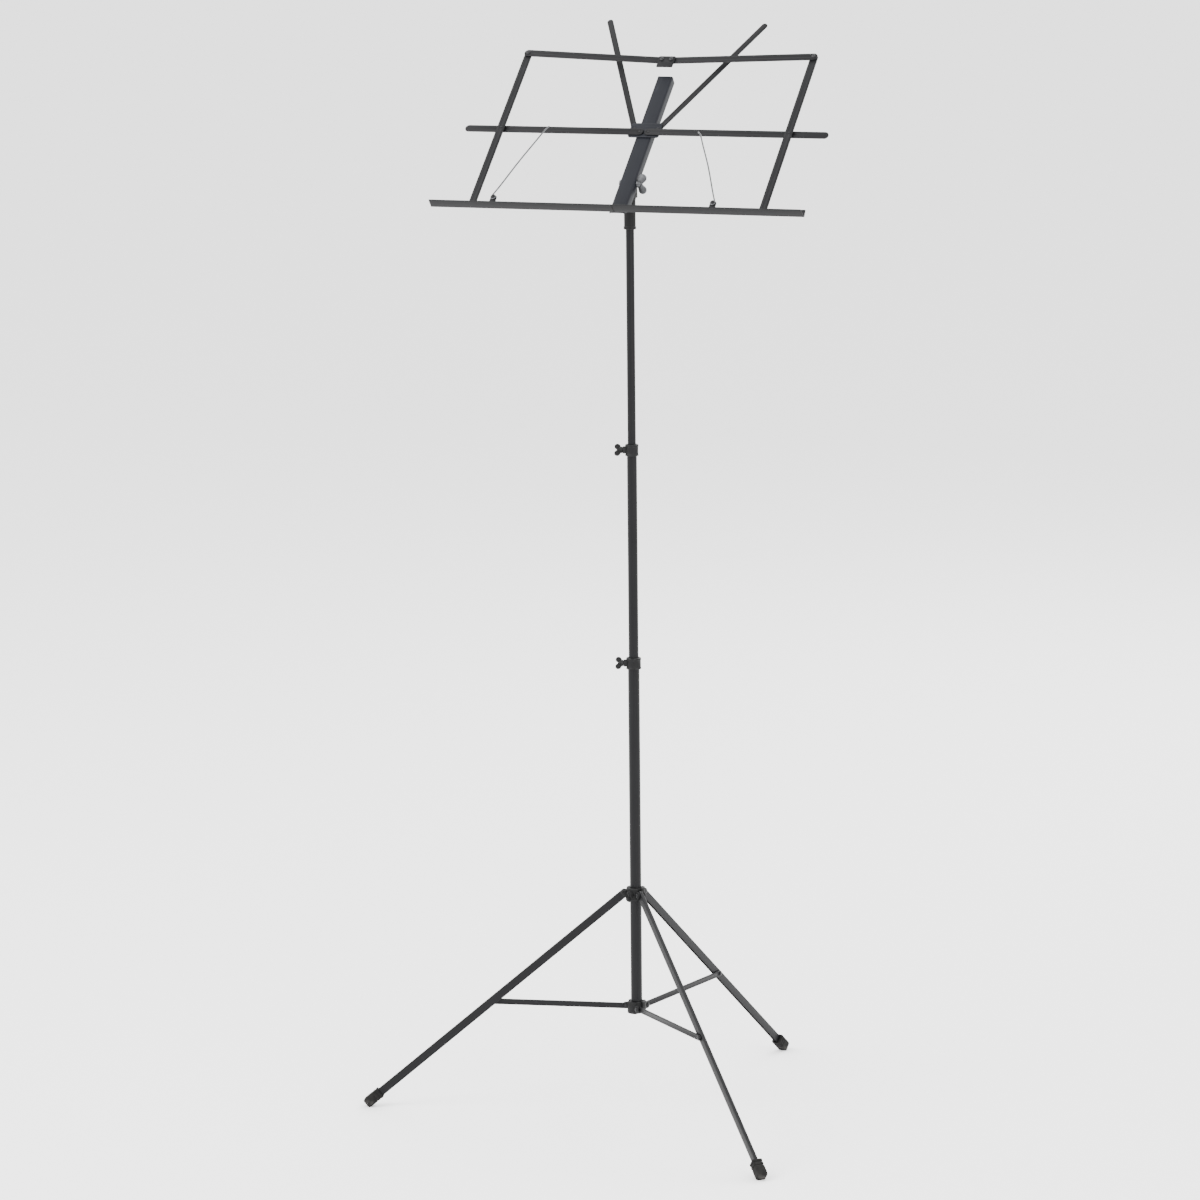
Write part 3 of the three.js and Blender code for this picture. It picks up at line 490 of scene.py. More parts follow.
class Piece:
    """Closed shells gathered into one object. Its face attribute edge marks what wears first."""

    def __init__(self):
        self.shells = bmesh.new()
        self.edge = self.shells.faces.layers.float.new("edge")

    def skin(self, rings, place, worn=(), joined=False):
        """Faces between successive rings of points; returns the rings of vertices."""
        made = [[self.shells.verts.new(place @ Vector(point)) for point in ring] for ring in rings]
        pairs = list(zip(made, made[1:]))
        if joined:
            pairs.append((made[-1], made[0]))
        for index, (low, high) in enumerate(pairs):
            for i, here in enumerate(low):
                j = (i + 1) % len(low)
                face = self.shells.faces.new((here, low[j], high[j], high[i]))
                face[self.edge] = float(index in worn)
        return made

    def loft(self, rings, place):
        """A shell through the rings, closed by a cap at both ends."""
        made = self.skin(rings, place)
        self.shells.faces.new(made[0])
        self.shells.faces.new(made[-1])

    def turned(self, profile, place, steps, joined=False):
        """A body of revolution about z. A profile ends on the axis, or is joined to itself."""
        angles = [2 * math.pi * i / steps for i in range(steps)]
        rings = [[(r * math.cos(a), r * math.sin(a), height) for a in angles] for r, height in profile]
        worn = []
        for i, (a, b) in enumerate(zip(profile, profile[1:])):
            sloping = a[0] != b[0] != 0 and a[1] != b[1]
            if sloping and math.dist(a, b) < mm:  # a rounded rim
                worn.append(i)
        self.skin(rings, place, worn, joined)

    def plate(self, loops, low, high, place, edge=EDGE):
        """A flat plate with rounded edges. The first loop runs anticlockwise, its holes clockwise."""
        near = 0.3 * edge
        levels = [(low, edge), (low + near, near), (low + edge, 0)]
        levels += [(high - edge, 0), (high - near, near), (high, edge)]
        rims = []
        for loop in loops:
            steps = inwards(loop)
            rings = [
                [(x + step.x * inset, y + step.y * inset, level) for (x, y), step in zip(loop, steps)]
                for level, inset in levels
            ]
            rims.append(self.skin(rings, place, worn=(0, 1, 3, 4)))  # all but the upright wall
        back = place.inverted()
        for end in (0, -1):
            corners = [vertex for rim in rims for vertex in rim[end]]
            outlines = [[back @ vertex.co for vertex in rim[end]] for rim in rims]
            for triangle in tessellate_polygon(outlines):
                self.shells.faces.new([corners[i] for i in triangle])

    def strip(self, pairs, start, end, place):
        """A bent sheet along x, from pairs of points on its faces; start and end give x at a point."""
        loop = [a for a, b in pairs] + [b for a, b in reversed(pairs)]
        rings = [[(edge(point), point.x, point.y) for point in loop] for edge in (start, end)]
        count = len(pairs)
        for ring in self.skin(rings, place):
            for i in range(count - 1):
                j = len(ring) - 1 - i
                face = self.shells.faces.new((ring[i], ring[i + 1], ring[j - 1], ring[j]))
                face[self.edge] = 1.0

    def take(self, mesh, place=ORIGIN):
        """Adds a finished mesh."""
        mesh.transform(place)
        self.shells.from_mesh(mesh)
        bpy.data.meshes.remove(mesh)

    def stand_on(self, height):
        """Presses flat whatever reaches below a height."""
        for vertex in self.shells.verts:
            vertex.co.z = max(vertex.co.z, height)

    def finish(self, name, body, material, *nodes):
        """Makes the object, which rides on a body and stands for CAD nodes."""
        bmesh.ops.remove_doubles(self.shells, verts=self.shells.verts, dist=SAME_PLACE)
        bmesh.ops.dissolve_degenerate(self.shells, edges=self.shells.edges, dist=NO_LENGTH)
        loose = [edge for edge in self.shells.edges if not edge.link_faces]
        bmesh.ops.delete(self.shells, geom=loose, context="EDGES")
        bmesh.ops.recalc_face_normals(self.shells, faces=self.shells.faces)
        mesh = bpy.data.meshes.new(name)
        self.shells.to_mesh(mesh)
        self.shells.free()
        mesh.materials.clear()
        mesh.materials.append(material)
        mesh.shade_smooth()
        mesh.set_sharp_from_angle(angle=SHARP)
        piece = in_scene(name, mesh)
        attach(piece, body)
        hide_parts(*nodes)


# ---- finishes ----


class Finish(Tree):
    """A material on the piece's own object coordinates, in metres."""

    def __init__(self, name):
        self.material = bpy.data.materials.new(name)
        self.material.use_nodes = True
        super().__init__(self.material.node_tree)
        self.tree.nodes.clear()
        self.place = self.add("ShaderNodeTexCoord", {}, {}, "Object")

    def noise(self, scale, detail=2.0, stretch=(1, 1, 1)):
        """Noise from 0 to 1 with so many lumps to the metre, each stretched by three factors."""
        sockets = {0: self.place, 1: [scale / factor for factor in stretch]}
        scaled = self.add("ShaderNodeVectorMath", {"operation": "MULTIPLY"}, sockets)
        return self.add("ShaderNodeTexNoise", {}, {"Vector": scaled, "Scale": 1.0, "Detail": detail})

    def cells(self, scale):
        """How far a point lies from the nearest of so many seeds to the metre."""
        return self.add("ShaderNodeTexVoronoi", {}, {"Vector": self.place, "Scale": scale}, "Distance")

    def edges(self):
        """1 on the faces that wear first."""
        return self.add("ShaderNodeAttribute", {"attribute_name": "edge"}, {}, "Fac")

    def height(self):
        return self.add("ShaderNodeSeparateXYZ", {}, {"Vector": self.place}, "Z")

    def between(self, value, low, high):
        """A smooth step from 0 at low to 1 at high."""
        sockets = {"Value": value, "From Min": low, "From Max": high}
        return self.add("ShaderNodeMapRange", {"interpolation_type": "SMOOTHSTEP"}, sockets)

    def mix(self, share, a, b):
        """Colour a, with so much of it replaced by colour b."""
        sockets = {0: share, 6: a, 7: b}
        return self.add("ShaderNodeMix", {"data_type": "RGBA"}, sockets, 2)

    def bump(self, height, depth, under=None):
        """A bump of so many metres, over another bump."""
        sockets = {"Height": height, "Distance": depth, "Strength": 1.0}
        if under:
            sockets["Normal"] = under
        return self.add("ShaderNodeBump", {}, sockets)

    def shade(self, color, roughness, metallic, normal, **constants):
        """The finished material; other sockets are named with underscores."""
        sockets = {"Base Color": color, "Roughness": roughness, "Metallic": metallic, "Normal": normal}
        for label, value in constants.items():
            sockets[label.replace("_", " ")] = value
        shader = self.add("ShaderNodeBsdfPrincipled", {}, sockets)
        self.add("ShaderNodeOutputMaterial", {}, {"Surface": shader})
        return self.material


BARE_STEEL = (0.07, 0.07, 0.074, 1)
DUST = (0.11, 0.105, 0.097, 1)
DUST_HEIGHT = 0.012
DULL = 0.13  # specular level of paint, nylon and rubber
SCUFFED = 3.2  # how much paler paint is where it is scuffed


def painted_steel(name, color, pale, roughness, grain):
    """Satin powder coat: orange peel, slow drift of tone, scuffs along the grain, chipped edges."""
    finish = Finish(name)
    drift = finish.noise(28, 2.0)
    speckle = finish.noise(900, 3.0)
    scuffs = finish.between(finish.noise(520, 4.0, grain), 0.6, 0.78)
    ragged = finish.between(finish.noise(310, 4.0), 0.6, 0.7)
    chips = finish.edges() * ragged
    tone = finish.mix(drift * 0.5 + speckle * 0.3, color, pale)
    scuffed = (*(SCUFFED * part for part in pale[:3]), 1)
    rubbed = finish.mix(scuffs * 0.22, tone, scuffed)
    chipped = finish.mix(chips * 0.75, rubbed, BARE_STEEL)
    rough = roughness + drift * 0.08 + scuffs * 0.1 - chips * 0.1
    peel = finish.bump(finish.noise(1300, 2.0), 0.00003)
    normal = finish.bump(chips + scuffs * 0.3, -0.00002, peel)
    return finish.shade(chipped, rough, chips * 0.9, normal, Specular_IOR_Level=DULL)


def moulded_nylon():
    """Matt black nylon: spark-eroded texture, flow marks, and edges rubbed paler."""
    finish = Finish("moulded_nylon")
    grain = finish.cells(1500)
    flow = finish.noise(60, 3.0, (1, 1, 2.5))
    rubbed = finish.edges() * finish.between(finish.noise(240, 3.0), 0.42, 0.62)
    tone = finish.mix(flow * 0.7, (0.003, 0.003, 0.003, 1), (0.008, 0.008, 0.0085, 1))
    worn = finish.mix(rubbed * 0.6, tone, (0.022, 0.022, 0.023, 1))
    rough = 0.5 + flow * 0.16 - rubbed * 0.12
    normal = finish.bump(grain, 0.00005, finish.bump(flow, 0.0001))
    return finish.shade(worn, rough, 0.0, normal, Specular_IOR_Level=DULL)


def boot_rubber():
    """Matt rubber, dusty close to the floor."""
    finish = Finish("boot_rubber")
    blotches = finish.noise(160, 4.0)
    pores = finish.noise(2600, 2.0)
    low = 1 - finish.between(finish.height(), 0.0, DUST_HEIGHT)
    dusty = (low * 0.3 + 0.04) * finish.between(blotches, 0.35, 0.7)
    tone = finish.mix(blotches * 0.6, (0.0035, 0.0035, 0.0035, 1), (0.009, 0.0085, 0.0085, 1))
    color = finish.mix(dusty, tone, DUST)
    rough = 0.72 + blotches * 0.2
    normal = finish.bump(pores, 0.00004, finish.bump(blotches, 0.00012))
    return finish.shade(color, rough, 0.0, normal, Specular_IOR_Level=DULL)


def blackened_rivet():
    """Blackened steel, its domes burnished unevenly."""
    finish = Finish("blackened_rivet")
    wear = finish.between(finish.noise(330, 3.0), 0.45, 0.7)
    pits = finish.noise(2400, 2.0)
    color = finish.mix(wear * 0.4, (0.008, 0.008, 0.009, 1), (0.05, 0.05, 0.053, 1))
    rough = 0.44 - wear * 0.12 + pits * 0.06
    return finish.shade(color, rough, 0.55 + wear * 0.3, finish.bump(pits, 0.00003))


def zinc_plate():
    """Dull zinc: faint spangle, grey bloom and handling marks."""
    finish = Finish("zinc_plate")
    spangle = finish.cells(420)
    bloom = finish.noise(140, 4.0)
    marks = finish.between(finish.noise(900, 3.0, (1, 1, 6)), 0.58, 0.75)
    tone = finish.mix(spangle, (0.06, 0.062, 0.066, 1), (0.1, 0.102, 0.106, 1))
    color = finish.mix(bloom * 0.45 + marks * 0.2, tone, (0.04, 0.04, 0.042, 1))
    rough = 0.34 + bloom * 0.2
    normal = finish.bump(bloom, 0.00005, finish.bump(marks, 0.00001))
    return finish.shade(color, rough, 0.92, normal)


def drawn_wire():
    """Bright drawn steel with fine die lines along its length and a little tarnish."""
    finish = Finish("drawn_wire")
    lines = finish.noise(3600, 2.0, (1, 14, 14))
    tarnish = finish.between(finish.noise(75, 4.0), 0.48, 0.72)
    color = finish.mix(tarnish * 0.5, (0.075, 0.076, 0.08, 1), (0.04, 0.04, 0.042, 1))
    rough = 0.24 + tarnish * 0.16 + lines * 0.08
    return finish.shade(color, rough, 0.95, finish.bump(lines, 0.00001))


TUBE_PAINT = painted_steel(
    "tube_paint", (0.0025, 0.0025, 0.003, 1), (0.006, 0.006, 0.0068, 1), 0.34, (1, 1, 40)
)
STRAP_PAINT = painted_steel(
    "strap_paint", (0.0035, 0.0035, 0.004, 1), (0.008, 0.008, 0.009, 1), 0.4, (18, 3, 3)
)
LEG_PAINT = painted_steel(
    "leg_paint", (0.003, 0.003, 0.0035, 1), (0.007, 0.007, 0.008, 1), 0.38, (4, 4, 4)
)
SPINE_PAINT = painted_steel(
    "spine_paint", (0.0045, 0.005, 0.007, 1), (0.009, 0.01, 0.0135, 1), 0.36, (2, 14, 14)
)
NYLON = moulded_nylon()
RUBBER = boot_rubber()
RIVET = blackened_rivet()
ZINC = zinc_plate()
WIRE = drawn_wire()

# ---- rivets ----

DOMED_HEADS = domed_heads_shaper()


class Rivet:
    """A rivet that stands for a CAD node, along a place's z, with a head at its back, front or both."""

    def __init__(self, node, place, shank, back, front):
        low, high = span(node, place)
        self.node = node
        self.shank = shank
        self.bottom = low.z + HEAD_HEIGHT * back
        self.top = high.z - HEAD_HEIGHT * front
        self.seat = moved(place, (low.x + high.x) / 2, (low.y + high.y) / 2)
        way = place.to_3x3() @ UP
        ends = [(self.bottom, -way)] * back + [(self.top, way)] * front
        self.heads = [(self.seat @ Vector((0, 0, height)), out) for height, out in ends]


def heads_mesh(heads):
    """Domed heads at (position, direction) pairs."""
    cloud = bpy.data.meshes.new("heads")
    cloud.from_pydata([position for position, way in heads], [], [])
    ways = cloud.attributes.new("axis", "FLOAT_VECTOR", "POINT")
    ways.data.foreach_set("vector", [part for position, way in heads for part in way])
    return DOMED_HEADS.run(cloud, {"Radius": HEAD_RADIUS, "Height": HEAD_HEIGHT, "Material": RIVET})


def rivets(name, body, group, spacers=()):
    """A group of rivets as one piece, with any spacers, each a seat and its lower and upper end."""
    piece = Piece()
    for rivet in group:
        low, high = rivet.bottom - SHANK_SINK, rivet.top + SHANK_SINK
        piece.turned([(0, low), (rivet.shank, low), (rivet.shank, high), (0, high)], rivet.seat, 24)
    for seat, low, high in spacers:
        profile = [(SHANK, low)] + off((HEAD_RADIUS, low), (-0.2, 0), (0, 0.2))
        profile += off((HEAD_RADIUS, high), (0, -0.2), (-0.2, 0)) + [(SHANK, high)]
        piece.turned(profile, seat, 24, joined=True)
    piece.take(heads_mesh([head for rivet in group for head in rivet.heads]))
    piece.finish(name, body, RIVET, *[rivet.node for rivet in group])


# ---- tubes, collars and wing screws ----


def tube(name):
    """A round tube with its rims rounded over."""
    bottom, top = span(name)[0].z, top_of(name)
    outer = half_width(name)
    inner = outer - TUBE_WALL
    profile = off((inner, bottom), (0, 0.25), (0.25, 0)) + off((outer, bottom), (-0.25, 0), (0, 0.25))
    profile += off((outer, top), (0, -0.25), (-0.25, 0)) + off((inner, top), (0.25, 0), (0, -0.25))
    piece = Piece()
    piece.turned(profile, round_pole(), 64, joined=True)
    piece.finish(f"painted_{name}", name, TUBE_PAINT, name)


def boss(piece, start, end, place):
    """A round boss along z with a rounded rim and a hole for its screw."""
    bore = SCREW_RADIUS + SCREW_GAP
    profile = [(bore, start), (BOSS_RADIUS, start), (BOSS_RADIUS, end - BOSS_RIM)]
    profile += [(BOSS_RADIUS - 0.3 * BOSS_RIM, end - 0.3 * BOSS_RIM), (BOSS_RADIUS - BOSS_RIM, end)]
    profile += [(bore + BOSS_RIM / 2, end), (bore, end - BOSS_RIM / 2)]
    piece.turned(profile, place, 40, joined=True)


def clamp_collar(level, tube_node):
    """A moulded sleeve with a bead at each end, a lip over the tube's end and a boss for its screw."""
    node = f"{level}_clamp_collar"
    bottom, top = span(node)[0].z, top_of(node)
    bore = half_width(tube_node) + FIT
    outer = bore + COLLAR_WALL
    waist = outer - COLLAR_BEAD
    neck = half_width(tube_node) - TUBE_WALL
    shoulder = top_of(tube_node) + FIT
    profile = off((bore, bottom), (0, 0.3), (0.3, 0))
    profile += off((outer, bottom), (-0.5, 0), (-0.12, 0.2), (0, 0.6), (0, 1.6))
    profile += off((waist, bottom), (0, 2.1)) + off((waist, top), (0, -3.2))
    profile += off((outer, top), (0, -2.7), (0, -1.1), (-0.3, -0.45), (-1, 0))
    profile += off((neck, top), (0.3, 0), (0, -0.3)) + [(neck, shoulder), (bore, shoulder)]
    piece = Piece()
    piece.turned(profile, round_pole(), 64, joined=True)
    screw = f"{level}_wing_screw_turn"
    facing = placed(on_pole(pivot(screw).z), UP, axis(screw))
    boss(piece, bore + 0.6 * mm, outer + BOSS_REACH, facing)
    piece.finish(f"moulded_{node}", tube_node, NYLON, node)


def wings(piece, spread, base, place):
    """Two round wings that lean up and out from a hub, in the plane of the place's x and z."""
    lobe = spread * WING_LOBE
    rise = lobe * WING_RISE + WING_HUB_LENGTH / 2
    reach = spread - lobe
    length = math.hypot(reach, rise)
    lean = math.atan2(rise, reach)
    half = WING_THICKNESS / 2
    inner, outer = (lobe - inset for inset in WING_RING)
    height = WING_RING_RISE + WING_RING_SINK
    ring = [(inner, 0), (outer, 0), (outer, height), (inner, height)]
    turn = place.to_3x3()
    for side in (1, -1):
        x = turn @ Vector((side * math.cos(lean), 0, math.sin(lean)))
        across = turn @ Vector((0, 1, 0))
        root = place @ Vector((0, 0, base + WING_HUB_LENGTH / 2))
        seat = placed(root, x.normalized(), across.normalized())
        piece.plate([teardrop(WING_ROOT, lobe, length)], -half, half, seat, WING_EDGE)
        for face in (half - WING_RING_SINK, -half - WING_RING_RISE):
            piece.turned(ring, moved(seat, length, 0, face), 32, joined=True)


def wing_screw(level):
    """A moulded wing screw: a waisted hub, two wings and a plain shank."""
    node = f"{level}_wing_screw"
    joint = f"{node}_turn"
    place = moved(placed(pivot(joint), UP, axis(joint)), turn=WING_TURN)
    low, high = span(node, place)
    spread = half_width(node, place)
    base = high.z - spread * WING_LOBE * (1 + WING_RISE) - WING_HUB_LENGTH
    top = base + WING_HUB_LENGTH
    profile = [(0, low.z)] + off((SCREW_RADIUS, low.z), (-0.4, 0), (0, 0.4)) + [(SCREW_RADIUS, base)]
    profile += off((WING_HUB_RADIUS, base), (-0.4, 0), (0, 0.4), (0, 1.2), (-0.5, 2))
    profile += off((WING_HUB_RADIUS, top), (-0.6, -1.6), (-0.9, -0.5), (-1.6, 0)) + [(0, top)]
    piece = Piece()
    piece.turned(profile, place, 40)
    wings(piece, spread, base, place)
    piece.finish(f"moulded_{node}", node, NYLON, node)


# ---- tripod ----


def notched_ring(notch_low, notch_high):
    """The outline of a ring with a notch at each leg, between two places across the leg."""
    corners = [
        (math.sqrt(RING_RADIUS**2 - notch_low**2), notch_low),
        (CORE_RADIUS, notch_low),
        (CORE_RADIUS, notch_high),
        (math.sqrt(RING_RADIUS**2 - notch_high**2), notch_high),
    ]
    first = math.degrees(math.asin(notch_high / RING_RADIUS))
    last = 360 / len(LEGS) + math.degrees(math.asin(notch_low / RING_RADIUS))
    outline = []
    for number in LEGS:
        heading = outward_of(f"leg_{number}_fold")
        angle = math.atan2(heading.y, heading.x)
        outline += [tuple(Matrix.Rotation(angle, 2) @ Vector(corner)) for corner in corners]
        angle = math.degrees(angle)
        outline += arc(0, 0, RING_RADIUS, angle + first, angle + last, 20)[1:-1]
    return outline


def ear(piece, joint, near, reach):
    """An ear from inside the ring out past a joint's pivot; near is its place across the leg."""
    centre = on_pole(pivot(joint).z)
    pivot_at = (pivot(joint) - centre).length
    root = CORE_RADIUS - EAR_SINK
    outline = [(root, -reach)] + arc(pivot_at, 0, reach, -90, 90, 14) + [(root, reach)]
    place = side_view(centre, outward_of(joint), 0)
    piece.plate([outline, hole(pivot_at, 0, EAR_HOLE)], near, near + EAR_THICKNESS, place, EAR_EDGE)


def leg_hub():
    """The sliding ring, with a pair of ears for each leg and a boss for its screw."""
    height = pivot("leg_1_fold").z
    bore = half_width("lower_tube") + FIT
    piece = Piece()
    loops = [notched_ring(-LEG_SIDE, LEG_SIDE), hole(0, 0, bore, 64)]
    piece.plate(loops, -HUB_HALF, HUB_HALF, round_pole(height), MOULDED_EDGE)
    for number in LEGS:
        for near in (LEG_SIDE, -LEG_SIDE - EAR_THICKNESS):
            ear(piece, f"leg_{number}_fold", near, HUB_EAR)
    facing = placed(on_pole(height), UP, axis("hub_wing_screw_turn"))
    boss(piece, bore + mm, RING_RADIUS + BOSS_REACH, facing)
    piece.finish("moulded_leg_hub", "leg_hub", NYLON, "leg_hub")


def strut_collar():
    """The cup at the foot of the lower tube, with a single ear for each strut."""
    height = pivot("strut_1_fold").z
    bottom = span("strut_collar")[0].z - height
    seat = bottom + CUP_FLOOR
    outline = notched_ring(-STRUT_FAR_SIDE, LEG_SIDE)
    loops = [outline, hole(0, 0, half_width("lower_tube") + FIT, 64)]
    piece = Piece()
    piece.plate(loops, seat - CUP_SINK, HUB_HALF, round_pole(height), MOULDED_EDGE)
    piece.plate([outline], bottom, seat, round_pole(height), MOULDED_EDGE)
    for number in LEGS:
        ear(piece, f"strut_{number}_fold", STRUT_FAR_SIDE, CUP_EAR)
    piece.finish("moulded_strut_collar", "lower_tube", NYLON, "strut_collar")


def leg(number):
    """A folded channel that opens downwards, round at its pivot, with its boot."""
    joint = f"leg_{number}_fold"
    place = side_view(pivot(joint), outward_of(joint), limit(joint, 1) - math.pi / 2)
    low, high = span(f"leg_{number}", place)
    radius = high.y
    side, web = high.z - LEG_WALL / 2, high.y - LEG_WALL / 2
    pairs = bent_sheet([(low.y, -side), (web, -side), (web, side), (low.y, side)], LEG_WALL)
    piece = Piece()
    piece.strip(pairs, lambda p: -math.sqrt(max(radius**2 - p.x**2, 0)), lambda p: high.x, place)
    piece.finish(f"folded_leg_{number}", f"leg_{number}", LEG_PAINT, f"leg_{number}")
    boot(number, place)


def boot(number, place):
    """A rubber boot with a thick rim, two grooves and a rounded toe, flat where it stands."""
    low, high = span(f"foot_{number}", place)

    def ring(x, half_y, half_z, radius):
        outline = rounded((-half_y, -half_z), (half_y, half_z), radius, 6)
        return [(x, y, z) for y, z in outline]

    # each ring lies so far along the boot and so far inside its outline
    pocket = off((low.x, 0), (3, 0), (0.4, 0), (0, -0.4))
    rim = off((low.x, 0), (0, 0.5), (0.15, 0.15), (0.5, 0), (2.6, 0))
    grooves = off((low.x, 0), (3, 0.55), (3.6, 0.75), (4.2, 0.55), (4.6, 0.1))
    grooves += off((low.x, 0), (7.2, 0.1), (7.6, 0.6), (8.2, 0.8), (8.8, 0.6), (9.2, 0.15), (18.5, 0.1))
    toe = off((high.x, 0), (-2, 0.35), (-0.7, 1), (-0.15, 1.8), (0, 2.6))
    rings = [
        ring(x, POCKET_HALF_HEIGHT - inset, POCKET_HALF_WIDTH - inset, POCKET_CORNER)
        for x, inset in pocket
    ]
    rings += [
        ring(x, BOOT_HALF_HEIGHT - inset, high.z - inset, BOOT_CORNER - 0.3 * inset)
        for x, inset in rim + grooves + toe
    ]
    piece = Piece()
    piece.loft(rings, place)
    piece.stand_on(0.0)
    piece.finish(f"rubber_foot_{number}", f"leg_{number}", RUBBER, f"foot_{number}")


def strut(number):
    """A flat strut with round ends, beside its leg, with its outer rivet."""
    joint = f"strut_{number}_fold"
    place = side_view(pivot(joint), outward_of(joint), math.pi / 2 - limit(joint, 1))
    low, high = span(f"strut_{number}", place)
    length = high.x - high.y
    piece = Piece()
    loops = [slot(0, length, high.y), hole(0, 0, EAR_HOLE), hole(length, 0, EAR_HOLE)]
    piece.plate(loops, low.z, high.z, place)
    piece.finish(f"flat_strut_{number}", f"strut_{number}", LEG_PAINT, f"strut_{number}")
    outer = Rivet(f"strut_rivet_{number}", moved(place, length), PIN_SHANK, back=False, front=True)
    rivets(f"blackened_strut_rivet_{number}", f"strut_{number}", [outer])


def tripod_pins():
    """The hub's three pins and the collar's three, each group one piece."""
    for kind, body, back in (("leg", "leg_hub", True), ("strut", "lower_tube", False)):
        pins = []
        for number in LEGS:
            joint = f"{kind}_{number}_fold"
            place = side_view(pivot(joint), outward_of(joint), 0)
            pins.append(Rivet(f"{kind}_pin_{number}", place, PIN_SHANK, back, front=True))
        rivets(f"blackened_{kind}_pins", body, pins)


# ---- tilting head ----


def desk_socket():
    """The sleeve over the top tube and the tilt block on it."""
    bottom = span("desk_socket")[0].z
    bore = half_width("top_tube") + FIT
    outer = bore + SOCKET_WALL
    waist = outer - SOCKET_WAIST
    shoulder = BOLT.z - SHOULDER_DROP
    roof = top_of("top_tube") + FIT
    profile = [(bore, roof)] + off((bore, bottom), (0, 0.4), (0.4, 0))
    profile += off((outer, bottom), (-0.5, 0), (0, 0.5), (0, 3)) + off((waist, bottom), (0, 3.6))
    profile += off((waist, shoulder), (0, -3))
    profile += off((outer, shoulder), (0, -2.4), (0, -1), (-0.3, -0.3), (-1, 0))
    profile += [(0, shoulder), (0, roof)]
    piece = Piece()
    piece.turned(profile, round_pole(), 56, joined=True)
    side_on = placed(BOLT, Vector((0, 1, 0)), ACROSS)
    half = span("desk_socket", side_on)[1].z
    foot = -SHOULDER_DROP - BLOCK_SINK
    outline = [(-BLOCK_ROUND, foot), (BLOCK_ROUND, foot)] + arc(0, 0, BLOCK_ROUND, 0, 180, 16)
    piece.plate([outline, hole(0, 0, BOLT_HOLE)], -half, half, side_on, MOULDED_EDGE)
    piece.finish("moulded_desk_socket", "desk_socket", NYLON, "desk_socket")


def tilt_bolt():
    """A round-headed bolt with a washer."""
    place = placed(BOLT, UP, ACROSS)
    low, high = span("tilt_bolt", place)
    side = low.z + BOLT_SIDE
    dome = 1.5 * mm
    angles = (0.3, 0.6, 0.9, 1.2, 1.5)
    profile = [(0, low.z)]
    profile += [(BOLT_HEAD * math.sin(a), low.z + dome * (1 - math.cos(a))) for a in angles]
    profile += off((BOLT_HEAD, low.z), (0, 1.9), (-0.4, 2.1))
    profile += off((BOLT_HEAD, side), (-0.4, -0.6), (0.4, -0.5), (0.4, 0)) + [(BOLT_SHANK, side)]
    profile += off((BOLT_SHANK, high.z), (0, -0.4), (-0.4, 0)) + [(0, high.z)]
    piece = Piece()
    piece.turned(profile, place, 40)
    piece.finish("zinc_tilt_bolt", "desk_socket", ZINC, "tilt_bolt")


def tilt_wing_nut():
    """A plated wing nut: a flanged cone with a closed top, and two wings."""
    place = placed(BOLT, UP, ACROSS)
    base = span("tilt_wing_nut", place)[0].z
    top = base + WING_HUB_LENGTH
    profile = [(BOLT_HOLE, base)] + off((WING_HUB_RADIUS, base), (0.4, 0), (0.4, 0.8), (0, 1.1))
    profile += off((WING_HUB_RADIUS, top), (-0.7, -0.6), (-1.2, 0))
    profile += [(0, top), (0, top - mm), (BOLT_HOLE, top - mm)]
    piece = Piece()
    piece.turned(profile, place, 40, joined=True)
    wings(piece, half_width("tilt_wing_nut", place), base, place)
    piece.finish("zinc_tilt_wing_nut", "tilt_wing_nut", ZINC, "tilt_wing_nut")


# ---- desk ----


def spine():
    """A pressed channel, open at the back; its side flanges are rounded at the top."""
    place = moved(DESK, turn=math.pi / 2)
    low, high = span("spine", place)
    side, web = high.y - SPINE_WALL / 2, high.z - SPINE_WALL / 2
    corners = [(-side, low.z), (-side, web), (side, web), (side, low.z)]
    pairs = bent_sheet(corners, SPINE_WALL, SPINE_BEND)
    corner = SPINE_HEAD_CORNER
    inside = high.z - SPINE_WALL
    depth = inside - low.z + SPINE_FOOT_LEAD

    def foot(p):
        """The side flanges are cut away on a slope at the bottom."""
        return low.x + max(SPINE_FOOT_CUT * (inside - p.y) / depth - SPINE_FOOT_LEAD, 0)

    def head(p):
        deep = max(low.z + corner - p.y, 0)
        return high.x - corner + math.sqrt(max(corner**2 - deep**2, 0))

    piece = Piece()
    piece.strip(pairs, foot, head, place)
    piece.finish("pressed_spine", "spine", SPINE_PAINT, "spine")


def flat_plate(node, body, corner, holes_at, material):
    """A small plate with round corners, in the desk's plane."""
    low, high = span(node, DESK)
    piece = Piece()
    loops = [rounded((low.x, low.y), (high.x, high.y), corner)]
    loops += [hole(*(DESK.inverted() @ point).xy, HOLE) for point in holes_at]
    piece.plate(loops, low.z, high.z, DESK)
    piece.finish(f"painted_{node}", body, material, node)


def strap(node, place, holes_at):
    """A flat strap with round ends, along its place's x."""
    low, high = span(node, place)
    half = (high.y - low.y) / 2
    piece = Piece()
    loops = [slot(low.x + half, high.x - half, half)]
    loops += [hole((place.inverted() @ point).x, 0, HOLE) for point in holes_at]
    piece.plate(loops, low.z, high.z, place)
    piece.finish(f"painted_{node}", node, STRAP_PAINT, node)


def towards(start, end):
    """A place at start whose x runs to end, in the desk's plane."""
    along = end - start
    along -= READER * along.dot(READER)
    return placed(start, along.normalized(), READER)


def top_joint_point(side):
    low, high = span(f"top_joint_rivet_{side}", DESK)
    return DESK @ Vector(((low.x + high.x) / 2, (low.y + high.y) / 2, 0))


def ledge_pivot(side):
    return pivot("desk_fold" if side == "right" else "ledge_arm_left_fold")


